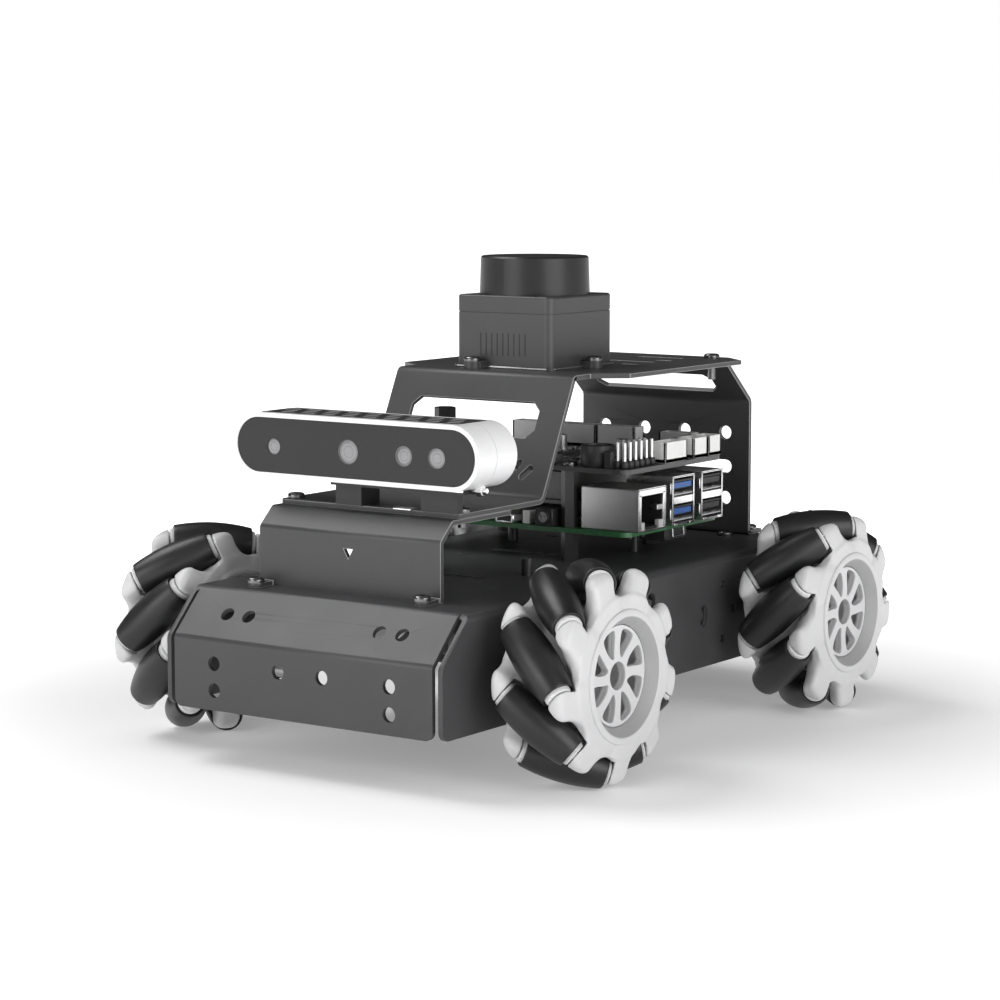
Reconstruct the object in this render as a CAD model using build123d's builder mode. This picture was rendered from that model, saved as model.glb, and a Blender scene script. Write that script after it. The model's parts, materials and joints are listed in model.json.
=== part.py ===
from build123d import *
import os
from math import cos, radians, sin, sqrt

# Wheeled robot with four mecanum wheels, a folded chassis, a stereo camera, a scanner and two boards.
# Frame: origin on the floor under the chassis centre, +X forward, +Y to the left, +Z up. Millimetres.

# Wheels
wheel_radius = 32.5
wheel_half_width = 14.15
axle_x = 68.5
wheel_centre_y = 70.35
roller_count = 9
roller_max_radius = 6.2
roller_tilt = 45.0
roller_phase = 15.2
rubber_half_length = 12.2
core_half_length = 13.3
core_radius = 3.9
pin_radius = 1.25
pin_half_length = 16.6
roller_bore_radius = 1.35
pin_hole_radius = 1.30
pocket_half_length = 13.6
pocket_gap = 0.45
lobe_radius = 4.1
lobe_length = 5.4
arm_middle = 23.2
arm_length = 9.4
hub_radius = 31.2
hub_ring_radius = 17.3
hub_barrel_radius = 19.3
hub_web_radius = 14.5
hub_bore_radius = 4.05
spoke_openings = 8
shaft_radius = 2.7
adaptor_radius = 4.0
adaptor_hexagon_radius = 6.0
shaft_bore_radius = 2.75

# Folded sheet parts
sheet = 1.5
bend = 2.4
chassis_half_length = 111.1
chassis_half_width = 50.3
chassis_top = 51.3
chassis_bottom = 16.7
end_plate_half_width = 47.1
end_corner_radius = 2.5
end_fold_x = 98.0
end_fold_z = 37.8
side_setback = 0.9
bracket_half_width = 33.3
deck_top = 76.2
deck_front_x = 78.2
deck_fold_x = 35.5
roof_top = 112.3
roof_fold_x = 18.0
roof_rear_x = -75.5
roof_half_width = 43.0
pedestal_x = 87.8
panel_x = -91.4
panel_fold_z = 96.5
plate_hole_radius = 2.2
hole_pitch = 8.0
screw_y = 30.6
foot_x = 93.0
foot_radius = 2.3
clamp_place = (-85.2, 27.0)
screw_hole_radius = 1.6

# Camera
camera_z = 93.1
camera_front_x = 85.3
camera_seam_x = 76.2
camera_rear_x = 66.0
camera_half_width = 45.0
camera_half_height = 9.6
window_half_width = 43.6
window_half_height = 8.2
lens_places = ((-29.8, 2.4), (-1.9, 3.6), (18.3, 3.0), (30.0, 3.0))

# Scanner
scanner_x = -10.0
scanner_half = 18.0
scanner_base_z = 113.3
scanner_seam_z = 129.7
scanner_top_z = 135.2
cover_radius = 17.5
cover_top_radius = 17.1
cover_top_z = 147.2
rotor_radius = 13.5

# Boards
board_front_x = -2.1
board_rear_x = -58.1
board_left_y = 39.9
board_right_y = -45.1
board_top = 62.2
board_sheet = 1.5
upper_board_front_x = -1.9
upper_board_rear_x = -60.8
upper_board_top = 81.8
port_overhang = 3.0
board_holes = ((-5.6, -41.6), (-5.6, 16.4), (-54.6, -41.6), (-54.6, 16.4))
spacer_radius = 2.75
stud_radius = 1.7
stud_height = 5.2
fan_x = -27.5
fan_y = -2.0
fan_floor = 9.8
fan_size_x = 36.0
fan_size_y = 34.0
fan_ring_radius = 16.2
fan_pin_radius = 1.0

# Motors and battery
gearbox_front = 11.3
gearbox_rear = -28.5
gearbox_half_height = 11.2
gearbox_depth = 18.6
motor_can_radius = 9.2
motor_can_length = 24.0

os.makedirs("parts", exist_ok=True)


def save(builder, name):
    """Label a finished part and write it to its STEP file."""
    builder.part.label = name
    export_step(builder.part, f"parts/{name}.step")


def folded_profile(plane, corners, bend_radius, side):
    """Cross-section of a folded sheet; the corners follow its outer face."""
    with BuildSketch(plane) as profile:
        with BuildLine():
            FilletPolyline(*corners, radius=bend_radius)
            offset(amount=sheet, side=side)
        make_face()
    return profile.sketch


def barrel_radius(along):
    """Radius of a roller at a distance along its axis, so that the nine make one round wheel."""
    centre = wheel_radius - roller_max_radius
    return wheel_radius - sqrt(centre**2 + (along * sin(radians(roller_tilt))) ** 2)


def roller_plane(index):
    """Plane at a roller's middle whose Z runs along its pin, for the front left wheel."""
    angle = radians(roller_phase + index * 360 / roller_count)
    distance = wheel_radius - roller_max_radius
    outward = Vector(cos(angle), 0, sin(angle))
    around = Vector(-sin(angle), 0, cos(angle))
    pin = around * -sin(radians(roller_tilt)) + Vector(0, cos(radians(roller_tilt)), 0)
    centre = Vector(axle_x, wheel_centre_y, wheel_radius) + outward * distance
    return Plane(origin=centre, x_dir=outward, z_dir=pin)


def barrel_section(plane, end_points, arc_end, middle_radius):
    """Section through a roller's axis: a bulged side between two mirrored sets of end points."""
    section = Plane(origin=plane.origin, x_dir=plane.x_dir, z_dir=plane.x_dir.cross(plane.z_dir))
    arc_radius, arc_along = arc_end
    upper = [*end_points, arc_end]
    lower = [(radius, -along) for radius, along in reversed(upper)]
    with BuildSketch(section) as outline:
        with BuildLine():
            Polyline(*upper)
            ThreePointArc(arc_end, (middle_radius, 0), (arc_radius, -arc_along))
            Polyline(*lower)
            Line(lower[-1], upper[0])
        make_face()
    return outline.sketch


# Nine rollers of the front left wheel, each a rubber barrel moulded on a plastic core
rollers = []
for index in range(roller_count):
    plane = roller_plane(index)
    core_end = [
        (roller_bore_radius, core_half_length),
        (core_radius, core_half_length),
        (core_radius, rubber_half_length),
    ]
    rubber_end = (barrel_radius(rubber_half_length), rubber_half_length)
    with BuildPart() as roller:
        revolve(
            barrel_section(plane, core_end, rubber_end, roller_max_radius),
            axis=Axis(plane.origin, plane.z_dir),
        )
    rollers.append(roller)

# Hub of the front left wheel: a barrel with a spoked web, lobed end plates, pins and the axle shaft
wheel_plane = Plane(
    origin=(axle_x, wheel_centre_y, wheel_radius), x_dir=(1, 0, 0), z_dir=(0, 1, 0)
)
plate_radius = 21.8
plate_inner = 9.9
plate_outer = 13.4
web_outer = 10.85
web_inner = 8.35
back_web_outer = -8.5
back_web_inner = -12.0

with BuildSketch() as petal:
    with BuildLine():
        ThreePointArc((5.5, -0.4), (9.4, -3.0), (13.2, -3.3))
        ThreePointArc((13.2, -3.3), (13.6, 0.3), (13.1, 3.7))
        ThreePointArc((13.1, 3.7), (9.2, 1.9), (5.5, -0.4))
    make_face()
    fillet(petal.vertices(), 0.45)

with BuildPart() as hub_body:
    # barrel with a conical recess on the outer side and an open cup on the inner side
    with BuildSketch(Plane(origin=wheel_plane.origin, x_dir=(1, 0, 0), z_dir=(0, 0, 1))):
        with BuildLine():
            Polyline(
                (hub_bore_radius, web_outer),
                (hub_web_radius, web_outer),
                (hub_web_radius, web_outer - 0.8),
                (hub_web_radius + 0.4, web_outer - 0.8),
                (hub_web_radius + 0.4, web_outer),
                (hub_ring_radius, wheel_half_width),
                (hub_barrel_radius - 0.4, wheel_half_width),
                (hub_barrel_radius + 0.4, plate_outer),
                (plate_radius, plate_outer - 0.6),
                (plate_radius, plate_inner),
                (hub_barrel_radius, plate_inner - 2),
                (hub_barrel_radius, 2 - plate_inner),
                (plate_radius, -plate_inner),
                (plate_radius, 0.6 - plate_outer),
                (hub_barrel_radius + 0.4, -plate_outer),
                (hub_barrel_radius - 0.4, -wheel_half_width),
                (hub_ring_radius, -wheel_half_width),
                (hub_web_radius + 0.4, back_web_inner),
                (hub_bore_radius, back_web_inner),
                (hub_bore_radius, back_web_outer),
                (hub_web_radius + 0.9, back_web_outer),
                (hub_web_radius + 0.9, web_inner),
                (hub_bore_radius, web_inner),
                close=True,
            )
        make_face()
    revolve(axis=Axis(wheel_plane.origin, (0, 1, 0)))
    # curved petal openings that leave the spokes of the outer web
    with BuildSketch(wheel_plane.offset(web_inner)):
        with PolarLocations(0, spoke_openings, start_angle=8):
            add(petal.sketch)
    extrude(amount=web_outer - web_inner, mode=Mode.SUBTRACT)
    # lobes that hold the pins at both ends of every roller, joined to the end plates
    for index in range(roller_count):
        plane = roller_plane(index)
        for end in (1, -1):
            foot = plane.offset(end * (pocket_half_length + 2.6)).origin - wheel_plane.origin
            with BuildSketch(plane.offset(end * (pocket_half_length - 1.0))):
                Circle(lobe_radius)
            extrude(amount=end * lobe_length)
            arm = Plane(wheel_plane.origin, x_dir=(foot.X, 0, foot.Z), z_dir=(0, 1, 0))
            start = plate_inner if end > 0 else -plate_outer
            with BuildSketch(arm.offset(start)):
                with Locations((arm_middle, 0)):
                    Rectangle(arm_length, 2 * lobe_radius - 0.6)
            extrude(amount=plate_outer - plate_inner)
    # trim the lobes to the hub's outer radius and flat faces
    with BuildSketch(wheel_plane.offset(-wheel_half_width)):
        Circle(hub_radius)
    extrude(amount=2 * wheel_half_width, mode=Mode.INTERSECT)
    # pockets for the rollers and holes for their pins
    for index in range(roller_count):
        plane = roller_plane(index)
        pocket_end = [
            (0, pin_half_length + 0.1),
            (pin_hole_radius, pin_half_length + 0.1),
            (pin_hole_radius, pocket_half_length),
        ]
        pocket_corner = (barrel_radius(pocket_half_length) + pocket_gap, pocket_half_length)
        revolve(
            barrel_section(plane, pocket_end, pocket_corner, roller_max_radius + pocket_gap),
            axis=Axis(plane.origin, plane.z_dir),
            mode=Mode.SUBTRACT,
        )

with BuildPart() as hub_pins:
    for index in range(roller_count):
        with BuildSketch(roller_plane(index)):
            Circle(pin_radius)
        extrude(amount=pin_half_length, both=True)

shaft_start = chassis_half_width - sheet - 8.5
adaptor_start = chassis_half_width + 2.0
adaptor_end = wheel_centre_y + back_web_inner - 0.05
with BuildPart() as axle_shaft:
    with BuildSketch(wheel_plane.offset(shaft_start - wheel_centre_y)):
        Circle(shaft_radius)
    extrude(amount=adaptor_start - shaft_start)
    with BuildSketch(wheel_plane.offset(adaptor_start - wheel_centre_y)):
        RegularPolygon(adaptor_hexagon_radius, 6)
    extrude(amount=adaptor_end - adaptor_start)
    with BuildSketch(wheel_plane.offset(adaptor_end - wheel_centre_y)):
        Circle(adaptor_radius)
    extrude(amount=wheel_centre_y + web_inner - 3 - adaptor_end)

# The four wheels are mirror images of each other about the chassis centre planes
corners = {
    "front_left": (),
    "front_right": (Plane.XZ,),
    "rear_left": (Plane.YZ,),
    "rear_right": (Plane.XZ, Plane.YZ),
}


def mirrored(shape, planes):
    """The shape mirrored about each plane in turn."""
    for plane in planes:
        shape = mirror(shape, about=plane, mode=Mode.PRIVATE)
    return shape


for corner, planes in corners.items():
    with BuildPart() as hub:
        add(mirrored(hub_body.part, planes))
        add(mirrored(hub_pins.part, planes))
        add(mirrored(axle_shaft.part, planes))
    save(hub, f"{corner}_hub")
    for number, roller in enumerate(rollers, start=1):
        with BuildPart() as copy:
            add(mirrored(roller.part, planes))
        save(copy, f"{corner}_roller_{number}")

# Chassis: one sheet folded into a top, two sides and two sloped end plates, open underneath
end_corners = [
    (end_fold_x - 6, chassis_top),
    (end_fold_x, chassis_top),
    (chassis_half_length, end_fold_z),
    (chassis_half_length, chassis_bottom),
]
slope = Vector(chassis_half_length - end_fold_x, 0, end_fold_z - chassis_top).normalized()
with BuildPart() as end_plate:
    extrude(
        folded_profile(Plane.XZ, end_corners, bend, Side.RIGHT), amount=end_plate_half_width, both=True
    )
    lower_edges = end_plate.edges().filter_by(Axis.X).group_by(Axis.Z)[0]
    fillet(lower_edges, end_corner_radius)
side_half_length = chassis_half_length - side_setback / 2
with BuildPart() as chassis_plate:
    side_corners = [
        (-chassis_half_width, chassis_bottom),
        (-chassis_half_width, chassis_top),
        (chassis_half_width, chassis_top),
        (chassis_half_width, chassis_bottom),
    ]
    extrude(
        folded_profile(Plane.YZ, side_corners, bend, Side.RIGHT), amount=chassis_half_length, both=True
    )
    with BuildSketch(Plane.XZ) as side_outline:
        with BuildLine():
            Polyline(
                (-side_half_length, chassis_bottom),
                (-side_half_length, end_fold_z - 0.4),
                (side_setback - end_fold_x, chassis_top),
                (end_fold_x - side_setback, chassis_top),
                (side_half_length, end_fold_z - 0.4),
                (side_half_length, chassis_bottom),
                close=True,
            )
        make_face()
        fillet(side_outline.vertices().group_by(Axis.Z)[0], 3)
    extrude(amount=chassis_half_width + 1, both=True, mode=Mode.INTERSECT)
    add(end_plate.part)
    mirror(end_plate.part, about=Plane.YZ)
    for end in (1, -1):
        # bolt holes on an 8 mm grid in the vertical and the sloped part of each end plate
        face = Plane(
            origin=(end * chassis_half_length, 0, chassis_bottom), x_dir=(0, end, 0), z_dir=(end, 0, 0)
        )
        with BuildSketch(face.offset(1)):
            with Locations((-hole_pitch, 14), (hole_pitch, 14)):
                Circle(plate_hole_radius)
            for row in (6, 14):
                with Locations((-4 * hole_pitch, row), (4 * hole_pitch, row)):
                    Circle(plate_hole_radius)
        extrude(amount=-4, mode=Mode.SUBTRACT)
        middle = ((chassis_half_length + end_fold_x) / 2 * end, 0, (chassis_top + end_fold_z) / 2)
        sloped = Plane(origin=middle, x_dir=(0, end, 0), z_dir=(-slope.Z * end, 0, slope.X))
        with BuildSketch(sloped.offset(1)):
            with Locations((-32, 0), (-24, 0), (24, 0), (32, 0)):
                Circle(plate_hole_radius)
        extrude(amount=-4, mode=Mode.SUBTRACT)
        # motor holes and slots, the same in both side walls
        with BuildSketch(Plane.XZ):
            with Locations((end * axle_x, wheel_radius)):
                Circle(4.5)
            with Locations((end * 43.8, 42.0), (end * 43.8, 24.3), (end * 50.7, 33.4)):
                Circle(1.5)
            with Locations((end * 32.0, 33.2)):
                SlotOverall(7.0, 4.6, rotation=90)
        extrude(amount=chassis_half_width + 1, both=True, mode=Mode.SUBTRACT)
    with BuildSketch(Plane.XZ):
        with Locations((0, 36.0)):
            SlotOverall(17.6, 4.6, rotation=90)
    extrude(amount=chassis_half_width + 1, both=True, mode=Mode.SUBTRACT)
    # cable slots and screw holes in the top
    with BuildSketch(Plane.XY.offset(chassis_top + 1)):
        for place_x, slot_length in ((41.0, 32.0), (-13.5, 38.0), (-70.0, 32.0)):
            with Locations((place_x, 0)):
                SlotOverall(slot_length, 4.0, rotation=90)
        with Locations((0.0, -20.0), (-50.5, -20.0)):
            SlotOverall(5.0, 2.4, rotation=90)
        with Locations(*board_holes):
            Circle(screw_hole_radius)
        with Locations((foot_x, screw_y), (foot_x, -screw_y), (-95.0, screw_y), (-95.0, -screw_y)):
            Circle(screw_hole_radius)
        with Locations(clamp_place, (clamp_place[0], -clamp_place[1])):
            Circle(screw_hole_radius)
    extrude(amount=-4, mode=Mode.SUBTRACT)
save(chassis_plate, "chassis_plate")

# Pedestal in front: two round-ended feet, an upright face, a sloped shoulder and a top flange
with BuildPart() as camera_bracket:
    pedestal_corners = [
        (pedestal_x, chassis_top),
        (pedestal_x, 69.1),
        (81.7, deck_top - sheet),
        (52.0, deck_top - sheet),
    ]
    extrude(
        folded_profile(Plane.XZ, pedestal_corners, 1.8, Side.LEFT),
        amount=bracket_half_width,
        both=True,
    )
    with BuildSketch(Plane.XY.offset(chassis_top)):
        for side_y in (screw_y, -screw_y):
            with Locations((foot_x, side_y)):
                Circle(foot_radius)
            with Locations(((foot_x + pedestal_x - sheet) / 2, side_y)):
                Rectangle(foot_x - pedestal_x + sheet, 2 * foot_radius)
    extrude(amount=sheet)
    with BuildSketch(Plane.XY.offset(deck_top + 1)):
        with Locations((foot_x, screw_y), (foot_x, -screw_y), (73.5, screw_y), (73.5, -screw_y)):
            Circle(screw_hole_radius)
    extrude(amount=-30, mode=Mode.SUBTRACT)
    # small cable hole in the upright face
    upright = Plane(origin=(pedestal_x + 1, 0, 63.6), x_dir=(0, 1, 0), z_dir=(1, 0, 0))
    with BuildSketch(upright):
        RegularPolygon(1.9, 3, rotation=-90)
    extrude(amount=-4, mode=Mode.SUBTRACT)
save(camera_bracket, "camera_bracket")

# Upper bracket: deck for the camera, sloped plate with a window and the roof, in one folded sheet
sloped_rise = Vector(roof_fold_x - deck_fold_x, 0, roof_top - deck_top).normalized()
with BuildPart() as upper_bracket:
    upper_corners = [
        (deck_front_x, deck_top),
        (deck_fold_x, deck_top),
        (roof_fold_x, roof_top),
        (roof_rear_x, roof_top),
    ]
    extrude(
        folded_profile(Plane.XZ, upper_corners, bend, Side.LEFT), amount=roof_half_width, both=True
    )
    with BuildSketch(Plane.XY.offset(deck_top - 5)) as plan:
        with BuildLine():
            Polyline(
                (deck_front_x, bracket_half_width),
                (9.0, bracket_half_width),
                (1.4, roof_half_width),
                (-67.0, roof_half_width),
                (roof_rear_x, bracket_half_width),
                (roof_rear_x, 0),
                (deck_front_x, 0),
                close=True,
            )
        make_face()
        mirror(about=Plane.XZ)
        fillet(plan.vertices().group_by(Axis.X)[-1], 2)
    extrude(amount=50, mode=Mode.INTERSECT)
    # window and two pairs of slanted slots in the sloped plate
    window_height = 98.6
    along_slope = (window_height - deck_top) / (roof_top - deck_top)
    window_x = deck_fold_x + (roof_fold_x - deck_fold_x) * along_slope
    window_plane = Plane(
        origin=(window_x, 0, window_height), x_dir=(0, 1, 0), z_dir=(sloped_rise.Z, 0, -sloped_rise.X)
    )
    with BuildSketch(window_plane.offset(1)) as window:
        Rectangle(48.0, 11.8)
        chamfer(window.vertices(), 2.8)
        for side in (1, -1):
            with Locations((side * 20.5, -15.2), (side * 25.0, -16.8)):
                SlotOverall(5.6, 2.2, rotation=side * 50)
    extrude(amount=-4, mode=Mode.SUBTRACT)
    # roof slots, scanner screw holes and the deck's screw holes
    with BuildSketch(Plane.XY.offset(roof_top + 1)):
        with Locations((-62.2, 15.0), (-62.2, -15.0), (-42.9, 15.8), (-42.9, -15.8)):
            SlotOverall(17.0, 2.2, rotation=90)
        with Locations((-31.6, 22.2), (-31.6, -22.2), (-51.1, 23.0), (-51.1, -23.0)):
            SlotOverall(5.6, 2.2, rotation=90)
        with Locations((-69.0, screw_y), (-69.0, -screw_y)):
            Circle(screw_hole_radius)
        with Locations((scanner_x + 21.6, -9.0), (scanner_x - 21.6, 9.0)):
            Circle(screw_hole_radius)
        with Locations((scanner_x - 1.5, 21.6), (scanner_x + 1.5, -21.6)):
            Circle(screw_hole_radius)
    extrude(amount=-4, mode=Mode.SUBTRACT)
    with BuildSketch(Plane.XY.offset(deck_top + 1)):
        with Locations((73.5, screw_y), (73.5, -screw_y)):
            Circle(screw_hole_radius)
    extrude(amount=-4, mode=Mode.SUBTRACT)
save(upper_bracket, "upper_bracket")

# Rear panel: foot on the chassis, upright wall with bolt holes, sloped part with a window, top flange
with BuildPart() as rear_panel:
    panel_corners = [
        (-99.0, chassis_top),
        (panel_x + sheet, chassis_top),
        (panel_x + sheet, panel_fold_z),
        (-75.0, roof_top - 2 * sheet),
        (-58.0, roof_top - 2 * sheet),
    ]
    extrude(
        folded_profile(Plane.XZ, panel_corners, 1.8, Side.LEFT), amount=bracket_half_width, both=True
    )
    with BuildSketch(Plane(origin=(panel_x - 1, 0, 0), x_dir=(0, 1, 0), z_dir=(1, 0, 0))):
        with Locations((-24, 85.7), (-8, 85.7), (8, 85.7), (24, 85.7), (-24, 63.5), (24, 63.5)):
            Circle(plate_hole_radius)
        with Locations((16, 74.2), (-16, 74.2)):
            SlotOverall(20.8, 2 * plate_hole_radius)
    extrude(amount=4, mode=Mode.SUBTRACT)
    tilt = Vector(-75.0 - panel_x - sheet, 0, roof_top - 2 * sheet - panel_fold_z).normalized()
    panel_window = Plane(origin=(-83.0, 0, 102.9), x_dir=(0, 1, 0), z_dir=(-tilt.Z, 0, tilt.X))
    with BuildSketch(panel_window.offset(3)) as rear_window:
        Rectangle(47.0, 9.4)
        chamfer(rear_window.vertices(), 2.6)
    extrude(amount=-6, mode=Mode.SUBTRACT)
    with BuildSketch(Plane.XY.offset(roof_top)):
        with Locations((-69.0, screw_y), (-69.0, -screw_y)):
            Circle(screw_hole_radius)
    extrude(amount=-5, mode=Mode.SUBTRACT)
    with BuildSketch(Plane.XY.offset(chassis_top + sheet + 1)):
        with Locations((-95.0, screw_y), (-95.0, -screw_y)):
            Circle(screw_hole_radius)
    extrude(amount=-3, mode=Mode.SUBTRACT)
save(rear_panel, "rear_panel")

# Camera: a rounded housing in two shells with a dark front window that carries four lenses
facing = Plane(origin=(camera_rear_x, 0, camera_z), x_dir=(0, 1, 0), z_dir=(1, 0, 0))
with BuildPart() as camera_body:
    with BuildSketch(facing):
        SlotOverall(2 * camera_half_width, 2 * camera_half_height)
    extrude(amount=camera_seam_x - camera_rear_x - 0.1)
    with BuildSketch(facing.offset(camera_seam_x - camera_rear_x - 0.1)):
        SlotOverall(2 * camera_half_width - 0.6, 2 * camera_half_height - 0.6)
    extrude(amount=0.2)
    with BuildSketch(facing.offset(camera_seam_x - camera_rear_x + 0.1)):
        SlotOverall(2 * camera_half_width, 2 * camera_half_height)
    extrude(amount=camera_front_x - camera_seam_x - 0.1)
    with BuildSketch(facing.offset(camera_front_x - camera_rear_x)):
        SlotOverall(2 * window_half_width + 0.1, 2 * window_half_height + 0.1)
    extrude(amount=-2.0, mode=Mode.SUBTRACT)
    # rows of vent slots along the top
    with BuildSketch(Plane.XY.offset(camera_z + camera_half_height)):
        with Locations((71.0, -22), (71.0, -11), (71.0, 0), (71.0, 11), (71.0, 22)):
            SlotOverall(8.0, 1.2, rotation=90)
    extrude(amount=-1.2, mode=Mode.SUBTRACT)
save(camera_body, "camera_body")

with BuildPart() as camera_window:
    with BuildSketch(facing.offset(camera_front_x - camera_rear_x - 1.95)):
        SlotOverall(2 * window_half_width, 2 * window_half_height)
    extrude(amount=1.7)
    with BuildSketch(facing.offset(camera_front_x - camera_rear_x - 0.25)):
        for place, radius in lens_places:
            with Locations((place, -0.4)):
                Circle(radius)
    extrude(amount=-0.6, mode=Mode.SUBTRACT)
save(camera_window, "camera_window")

camera_floor = camera_z - camera_half_height
mount_plate = 1.4
mount_plate_z = camera_floor - 0.05 - mount_plate
with BuildPart() as camera_mount:
    with BuildSketch(Plane.XY.offset(mount_plate_z)):
        with Locations((75.0, 12.0)):
            Rectangle(11.0, 48.0)
    extrude(amount=mount_plate)
    for pad_x, pad_y, pad_depth, pad_width in ((74.5, -6.5, 9.0, 9.5), (77.7, 26.5, 2.6, 13.0)):
        with BuildSketch(Plane.XY.offset(deck_top + 0.02)):
            with Locations((pad_x, pad_y)):
                Rectangle(pad_depth, pad_width)
        extrude(amount=mount_plate_z - deck_top - 0.02)
    mount_side = Plane(
        origin=(76.0, 36.0, mount_plate_z + mount_plate / 2), x_dir=(1, 0, 0), z_dir=(0, 1, 0)
    )
    with BuildSketch(mount_side):
        Circle(mount_plate / 2)
    extrude(amount=5.2)
    with BuildSketch(mount_side.offset(2.2)):
        RegularPolygon(1.4, 6)
    extrude(amount=1.8)
save(camera_mount, "camera_mount")

# Scanner: a square base on four eared feet, a dark round cover and the spinning head inside it
base_centre = Plane.XY.offset(scanner_base_z - 1.0)
ear_places = ((21.6, -9.0), (-21.6, 9.0), (-1.5, 21.6), (1.5, -21.6))
with BuildPart() as scanner_base:
    with BuildSketch(base_centre.offset(0.02)):
        with Locations((scanner_x, 0)):
            RectangleRounded(2 * scanner_half + 1.6, 2 * scanner_half + 1.6, 3)
    extrude(amount=1.0)
    with BuildSketch(Plane.XY.offset(scanner_base_z)) as square:
        with Locations((scanner_x, 0)):
            RectangleRounded(2 * scanner_half, 2 * scanner_half, 2.5)
    extrude(amount=scanner_top_z - scanner_base_z)
    fillet(scanner_base.faces().sort_by(Axis.Z)[-1].edges(), 0.8)
    for place_x, place_y in ear_places:
        with BuildSketch(base_centre.offset(0.02)):
            with Locations((scanner_x + place_x, place_y)):
                Circle(2.7)
            with Locations((scanner_x + place_x * 0.9, place_y * 0.9)):
                Rectangle(5.0, 5.0)
        extrude(amount=2.3)
    with BuildSketch(base_centre):
        for place_x, place_y in ear_places:
            with Locations((scanner_x + place_x, place_y)):
                Circle(screw_hole_radius)
    extrude(amount=4.0, mode=Mode.SUBTRACT)
    with BuildSketch(Plane.XY.offset(scanner_top_z)):
        with Locations((scanner_x, 0)):
            Circle(2.55)
    extrude(amount=-8.0, mode=Mode.SUBTRACT)
    # groove of the parting line
    with BuildSketch(Plane.XY.offset(scanner_seam_z)):
        with Locations((scanner_x, 0)):
            Rectangle(60, 60)
            RectangleRounded(2 * scanner_half - 0.6, 2 * scanner_half - 0.6, 2.2, mode=Mode.SUBTRACT)
    extrude(amount=0.3, mode=Mode.SUBTRACT)
save(scanner_base, "scanner_base")

with BuildPart() as scanner_cover:
    with BuildSketch(Plane.XZ):
        with BuildLine():
            Polyline(
                (scanner_x + 16.0, scanner_top_z + 0.02),
                (scanner_x + cover_radius, scanner_top_z + 0.02),
                (scanner_x + cover_top_radius, cover_top_z - 0.5),
                (scanner_x + cover_top_radius - 0.5, cover_top_z),
                (scanner_x, cover_top_z),
                (scanner_x, cover_top_z - 1.5),
                (scanner_x + 15.7, cover_top_z - 1.5),
                close=True,
            )
        make_face()
    revolve(axis=Axis((scanner_x, 0, 0), (0, 0, 1)))
save(scanner_cover, "scanner_cover")

with BuildPart() as scanner_rotor:
    with BuildSketch(Plane.XY.offset(scanner_top_z + 1.0)):
        with Locations((scanner_x, 0)):
            Circle(rotor_radius)
    extrude(amount=8.4)
    with BuildSketch(Plane.XY.offset(scanner_top_z + 2.8)):
        with Locations((scanner_x + rotor_radius, 0)):
            Rectangle(5.0, 14.0)
    extrude(amount=4.6, mode=Mode.SUBTRACT)
    with BuildSketch(Plane.XY.offset(scanner_top_z + 1.0)):
        with Locations((scanner_x, 0)):
            Circle(2.5)
    extrude(amount=-7.5)
save(scanner_rotor, "scanner_rotor")


# Computer board with its sockets along the left and front edges
def board(front_x, rear_x, top):
    """Rectangular board with rounded corners and four screw holes."""
    with BuildPart() as blank:
        with BuildSketch(Plane.XY.offset(top)):
            with Locations(((front_x + rear_x) / 2, (board_left_y + board_right_y) / 2)):
                RectangleRounded(front_x - rear_x, board_left_y - board_right_y, 3)
            with Locations(*board_holes):
                Circle(1.35, mode=Mode.SUBTRACT)
        extrude(amount=-board_sheet)
    return blank


computer_board = board(board_front_x, board_rear_x, board_top)
save(computer_board, "computer_board")

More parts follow.
